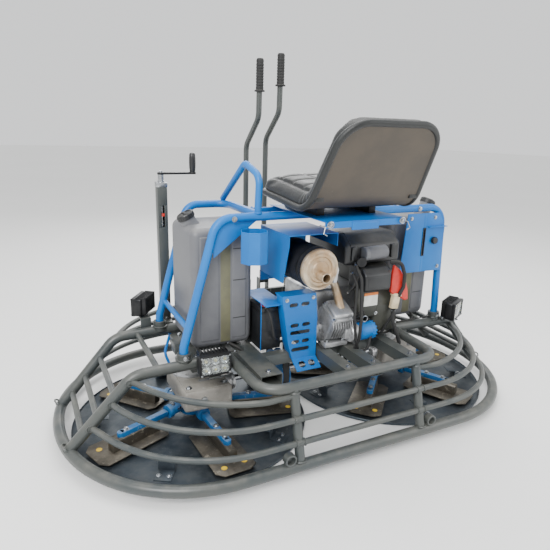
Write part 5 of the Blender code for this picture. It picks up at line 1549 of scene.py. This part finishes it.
buildEngineBlock()
buildOilFilter()
buildShroud()
buildRedGuard()
buildAirCleaner()
buildMuffler()
buildBeltGuardFlange()
buildBattery()
buildHoses()
print("engine built")


# Seat: a moulded pan on a blue plate, and one padded piece whose sewn channels come after the simulation

seat = {"wide": 0.45, "front": -0.06, "corner": -0.42, "top": -0.572, "rise": 0.03, "back": 0.283,
        "frontRound": 0.05, "topRound": 0.085, "taper": 0.035, "border": 0.043,
        "padLow": 0.0098, "padHigh": 0.060, "padInset": 0.012, "crown": 0.006, "edgeFall": 0.010,
        "edgeRound": 0.014,
        "cushionRows": 44, "cushionColumns": 34, "rollRadius": 0.0115, "rollLift": 0.006, "rollInset": 0.012,
        "crossSeams": (0.14, 0.26, 0.38, 0.60, 0.71, 0.82), "longSeams": (-0.33, 0.33), "crossDepth": 0.0075,
        "longDepth": 0.006, "borderDepth": 0.0095, "borderWidth": 0.0055, "pleat": 0.0016,
        "voxel": 0.0055, "pressure": 4.0, "cap": 0.014, "frames": 14}


def seatLine(lift, steps=8):
    baseZ = part["seatBaseZ"]
    path = bent([(0, seat["front"], baseZ + seat["rise"]), (0, seat["corner"], baseZ),
                 (0, seat["top"], baseZ + seat["back"])], 0.10, steps)
    out = []
    for k, point in enumerate(path):
        run = (path[min(k + 1, len(path) - 1)] - path[max(k - 1, 0)]).normalized()
        out.append(Vector((point.y + run.z * lift, point.z - run.y * lift)))
    return out


seatLong = sum((b - a).length for a, b in zip(seatLine(0), seatLine(0)[1:]))


# How far a share of the seat's line is from the front edge and from the top, each with its corner radius
def seatEnds(share):
    return (share * seatLong, seat["frontRound"]), ((1 - share) * seatLong, seat["topRound"])


def straightHalf(share, wide):
    return wide / 2 - seat["taper"] * max(0.0, share - 0.5) * 2


# Half of the seat's width at a share of its line, from the front edge to the top of the back
def halfWidth(share, wide):
    half = straightHalf(share, wide)
    for gap, radius in seatEnds(share):
        if gap < radius:
            half -= radius - math.sqrt(max(0.0, radius ** 2 - (radius - gap) ** 2))
    return half


# How far a point lies in from the seat's outline, rounded corners included
def edgeGap(x, share, wide):
    side = straightHalf(share, wide) - abs(x - part["seatX"])
    best = side
    for gap, radius in seatEnds(share):
        best = min(best, gap)
        if side < radius and gap < radius:
            best = min(best, radius - math.hypot(radius - side, radius - gap))
    return best


# Shares that crowd together near both ends, where the corners turn
def evenShare(t):
    return 0.5 - 0.5 * math.cos(math.pi * min(1.0, max(0.0, t)))


def alongLine(points, share):
    lengths = [(b - a).length for a, b in zip(points, points[1:])]
    want = share * sum(lengths)
    for (a, b), length in zip(zip(points, points[1:]), lengths):
        if want <= length:
            return a.lerp(b, want / length)
        want -= length
    return points[-1].copy()


# A closed slab that follows the seat's side view, made from a grid and thickened
def gridSlab(low, high, wide, rows, columns, crown=0.0, edge=0.0):
    lower, upper = seatLine(low, 10), seatLine(high, 10)
    bm = bmesh.new()
    bmesh.ops.create_grid(bm, x_segments=columns, y_segments=rows, size=0.5)
    thick = bmesh.ops.extrude_face_region(bm, geom=bm.faces[:])
    raised = {v for v in thick["geom"] if isinstance(v, bmesh.types.BMVert)}
    for v in bm.verts:
        share, across = evenShare(v.co.y + 0.5), v.co.x * 2
        halfWide = halfWidth(share, wide)
        point = alongLine(upper if v in raised else lower, share)
        over = alongLine(upper, share) - alongLine(lower, share)
        if v in raised and crown:
            fall = max(abs(across) ** 6, (abs(share - 0.5) * 2) ** 10)
            point = point + over.normalized() * (crown * (1 - across ** 2) - edge * fall)
        v.co = Vector((part["seatX"] + across * halfWide, point.x, point.y))
    bmesh.ops.recalc_face_normals(bm, faces=bm.faces)
    return bm


def buildSeatPan():
    bm = bmesh.new()
    absorb(bm, gridSlab(0.0, 0.007, part["seatWide"], 44, 20), 0)
    # rolled rim round the pan
    rim = []
    for across, shares in ((-1, [k / 40 for k in range(41)]), (1, [1 - k / 40 for k in range(41)])):
        for share in (evenShare(t) for t in shares):
            point = alongLine(seatLine(0.004, 10), share)
            rim.append((part["seatX"] + across * halfWidth(share, part["seatWide"]), point.x, point.y))
    addTube(bm, rim, 0.0045, 12, True)
    for x in (-0.1, 0.1):
        addBox(bm, (part["seatX"] + x - 0.003, part["seatX"] + x + 0.003), (-0.33, -0.12), (0.8835, 0.8895),
               0.002)
    makePiece(bm, "seat_pan_moulded", "seat", ["shell"], ["seat_shell"], 45)


def softMesh(bm, name):
    mesh = bpy.data.meshes.new(name)
    bm.to_mesh(mesh)
    bm.free()
    obj = bpy.data.objects.new(name, mesh)
    bpy.context.scene.collection.objects.link(obj)
    return obj


def applied(obj):
    seen = obj.evaluated_get(bpy.context.evaluated_depsgraph_get())
    mesh = bpy.data.meshes.new_from_object(seen)
    obj.modifiers.clear()
    obj.data = mesh
    return obj


# Cloth with pressure fills the pad; a cap keeps each point near its pattern
def inflate(obj, v):
    start = [p.co.copy() for p in obj.data.vertices]
    pinned = obj.vertex_groups.new(name="pinned")
    flat = [k for k, p in enumerate(start) if underside(p) < 0.016]
    pinned.add(flat, 1.0, "REPLACE")
    cloth = obj.modifiers.new("cloth", "CLOTH")
    cloth.settings.use_pressure = True
    cloth.settings.uniform_pressure_force = v["pressure"]
    cloth.settings.vertex_group_mass = "pinned"
    cloth.settings.effector_weights.gravity = 0.0
    cloth.settings.quality = 4
    cloth.settings.tension_stiffness = 12
    cloth.collision_settings.use_collision = False
    cloth.point_cache.frame_end = v["frames"]
    scene = bpy.context.scene
    for k in range(1, v["frames"] + 1):
        scene.frame_set(k)
    seen = obj.evaluated_get(bpy.context.evaluated_depsgraph_get())
    moved = [p.co.copy() for p in seen.data.vertices]
    obj.modifiers.clear()
    scene.frame_set(1)
    for vert, a, b in zip(obj.data.vertices, start, moved):
        step = b - a
        vert.co = a + step * min(1.0, v["cap"] / step.length) if step.length > 1e-9 else a
    return obj


padLine = seatLine(0.0095, 24)


# How far a point stands off the seat pan
def underside(point):
    best = 9.0
    flat = Vector((point.y, point.z))
    for a, b in zip(padLine, padLine[1:]):
        run = b - a
        t = max(0.0, min(1.0, (flat - a).dot(run) / run.length_squared))
        best = min(best, (flat - a - run * t).length)
    return best


def lineShare(point):
    flat = Vector((point.y, point.z))
    best, share, gone, total = 9.0, 0.0, 0.0, sum((b - a).length for a, b in zip(padLine, padLine[1:]))
    for a, b in zip(padLine, padLine[1:]):
        run = b - a
        t = max(0.0, min(1.0, (flat - a).dot(run) / run.length_squared))
        gap = (flat - a - run * t).length
        if gap < best:
            best, share = gap, (gone + run.length * t) / total
        gone += run.length
    return share


# Draws the vinyl in along the border seam and the cross channels
def sewChannels(obj):
    mesh = obj.data
    normals = [v.normal.copy() for v in mesh.vertices]
    for v, normal in zip(mesh.vertices, normals):
        away = underside(v.co)
        if away < 0.02:
            continue
        share = lineShare(v.co)
        across = (v.co.x - part["seatX"]) / halfWidth(share, seat["wide"])
        gap = edgeGap(v.co.x, share, seat["wide"])
        inner = min(1.0, max(0.0, (gap - seat["border"]) / 0.009))
        pull = 0.0
        for seam in seat["crossSeams"]:
            pull = max(pull, seat["crossDepth"] * math.exp(-((share - seam) / 0.009) ** 2) * inner)
        for seam in seat["longSeams"]:
            pull = max(pull, seat["longDepth"] * math.exp(-((across - seam) / 0.022) ** 2) * inner)
        pull = max(pull, seat["borderDepth"] * math.exp(-((gap - seat["border"]) / seat["borderWidth"]) ** 2))
        v.co -= normal * pull
    # pleats round the lower side of the back, where the vinyl turns over the pan
    for v, normal in zip(mesh.vertices, normals):
        away = underside(v.co)
        share = lineShare(v.co)
        if away < 0.05 and 0.42 < share < 0.62:
            v.co += normal * seat["pleat"] * math.sin(share * 150) * (1 - abs(share - 0.52) / 0.1)
    return obj


def buildCushion():
    bm = gridSlab(seat["padLow"], seat["padHigh"], seat["wide"] - seat["padInset"], seat["cushionRows"],
                  seat["cushionColumns"], seat["crown"], seat["edgeFall"])
    rim = [e for e in bm.edges if e.calc_face_angle(0.0) > 1.0]
    bmesh.ops.bevel(bm, geom=rim, offset=seat["edgeRound"], segments=4, profile=0.5, affect="EDGES",
                    material=-1)
    obj = softMesh(bm, "seat_cushion_sewn")
    remesh = obj.modifiers.new("remesh", "REMESH")
    remesh.mode = "VOXEL"
    remesh.voxel_size = seat["voxel"]
    applied(obj)
    inflate(obj, seat)
    smooth = obj.modifiers.new("smooth", "CORRECTIVE_SMOOTH")
    smooth.iterations = 6
    smooth.use_only_smooth = True
    applied(obj)
    sewChannels(obj)
    fine = obj.modifiers.new("fine", "SUBSURF")
    fine.levels = fine.render_levels = 1
    applied(obj)
    obj.data.materials.clear()
    obj.data.materials.append(mats["vinyl"])
    obj.data.shade_smooth()
    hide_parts("seat_cushion")
    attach(obj, "seat")


# Rolled vinyl edge between the cushion and its pan
def buildPiping():
    bm = bmesh.new()
    rim = []
    line = seatLine(seat["rollLift"], 12)
    wide = seat["wide"] - seat["rollInset"]
    for across, shares in ((-1, [k / 60 for k in range(61)]), (1, [1 - k / 60 for k in range(61)])):
        for share in (evenShare(t) for t in shares):
            point = alongLine(line, share)
            rim.append((part["seatX"] + across * halfWidth(share, wide), point.x, point.y))
    addTube(bm, rim, seat["rollRadius"], 18, True)
    # tabs that hold the pad to its pan
    for share in (0.60,):
        for across in (-1, 1):
            point = alongLine(seatLine(-0.001, 12), share)
            x = part["seatX"] + across * (halfWidth(share, part["seatWide"]) - 0.012)
            addBox(bm, (x - 0.016, x + 0.016), (point.x - 0.004, point.x + 0.006),
                   (point.y - 0.007, point.y + 0.007), 0.002)
    makePiece(bm, "seat_edge_roll", "seat", ["vinyl"])


def buildSeatPlate():
    bm = bmesh.new()
    x, z = part["seatX"], part["seatZ"]
    rear = seat["corner"] - 0.03
    addBox(bm, (x - 0.165, x + 0.165), (rear, -0.03), (z, z + 0.003), 0.001)
    addBox(bm, (x - 0.165, x + 0.165), (rear, rear + 0.003), (z - 0.020, z + 0.003), 0.001)
    addBox(bm, (x - 0.06, x + 0.05), (rear - 0.0025, rear + 0.003), (z - 0.029, z - 0.002), 0.0012)
    for side in (-1, 1):
        addBox(bm, (x + side * 0.11 - 0.015, x + side * 0.11 + 0.015), (-0.33, -0.08),
               (z + 0.002, z + 0.0285), 0.002, 1)
        # over-centre wire clip at each end of the rear edge
        foot = Vector((x + side * 0.148, rear - 0.004, z - 0.006))
        wire = [foot + Vector((0.012 * math.cos(a), -0.003, 0.010 * math.sin(a))) for a in
                (math.tau * k / 14 for k in range(15))]
        wire += [foot + Vector((side * 0.022, -0.006, -0.006)), foot + Vector((side * 0.030, -0.010, -0.026)),
                 foot + Vector((side * 0.016, -0.010, -0.034))]
        addTube(bm, wire, 0.0018, 10, mat=2)
        addBolt(bm, foot + Vector((0, -0.001, 0)), (0, -1, 0), 0.009, 0.004, mat=2)
    addRod(bm, (x - 0.15, -0.034, z - 0.001), (x + 0.15, -0.034, z - 0.001), 0.0045, 14, mat=2)
    makePiece(bm, "seat_plate_folded", "seat", ["blue", "blacked", "plated"], ["seat_plate"])


buildSeatPan()
buildCushion()
buildPiping()
buildSeatPlate()
print("seat built")


# Floor and light

def makeFloor():
    mat, tree, shader = blank("pale studio floor", {"rough": 0.6})
    place = addNode(tree, "ShaderNodeTexCoord").outputs["Object"]
    tree.links.new(mixed(tree, noiseOver(tree, place, 900, 3.0), "#eeeeec", "#f4f4f2"),
                   shader.inputs["Base Color"])
    bm = bmesh.new()
    bmesh.ops.create_grid(bm, x_segments=1, y_segments=1, size=30.0)
    mesh = bpy.data.meshes.new("floor")
    bm.to_mesh(mesh)
    bm.free()
    mesh.materials.append(mat)
    floor = bpy.data.objects.new("floor", mesh)
    floor.location = (0, 0, cadLow.z - 0.0005)
    bpy.context.scene.collection.objects.link(floor)


sky = {"colour": "#f8f9fa", "strength": 1.2}
lights = (("key", (-2.6, -2.4, 3.2), 2.0, 190.0), ("fill", (3.0, -2.8, 2.2), 3.0, 60.0),
          ("top", (0.2, 0.3, 4.0), 3.4, 110.0), ("rim", (1.2, 3.4, 2.6), 2.4, 70.0))


def addLights():
    for name, place, size, power in lights:
        data = bpy.data.lights.new(name, "AREA")
        data.shape = "DISK"
        data.size = size
        data.energy = power
        obj = bpy.data.objects.new(name, data)
        obj.location = place
        obj.rotation_euler = (Vector((0, 0, 0.4)) - Vector(place)).to_track_quat("-Z", "Y").to_euler()
        bpy.context.scene.collection.objects.link(obj)
    world = bpy.data.worlds.new("studio")
    world.use_nodes = True
    background = world.node_tree.nodes["Background"]
    background.inputs["Color"].default_value = toLinear(sky["colour"])
    background.inputs["Strength"].default_value = sky["strength"]
    bpy.context.scene.world = world


makeFloor()
addLights()
bpy.context.view_layer.update()
print("scene ready")
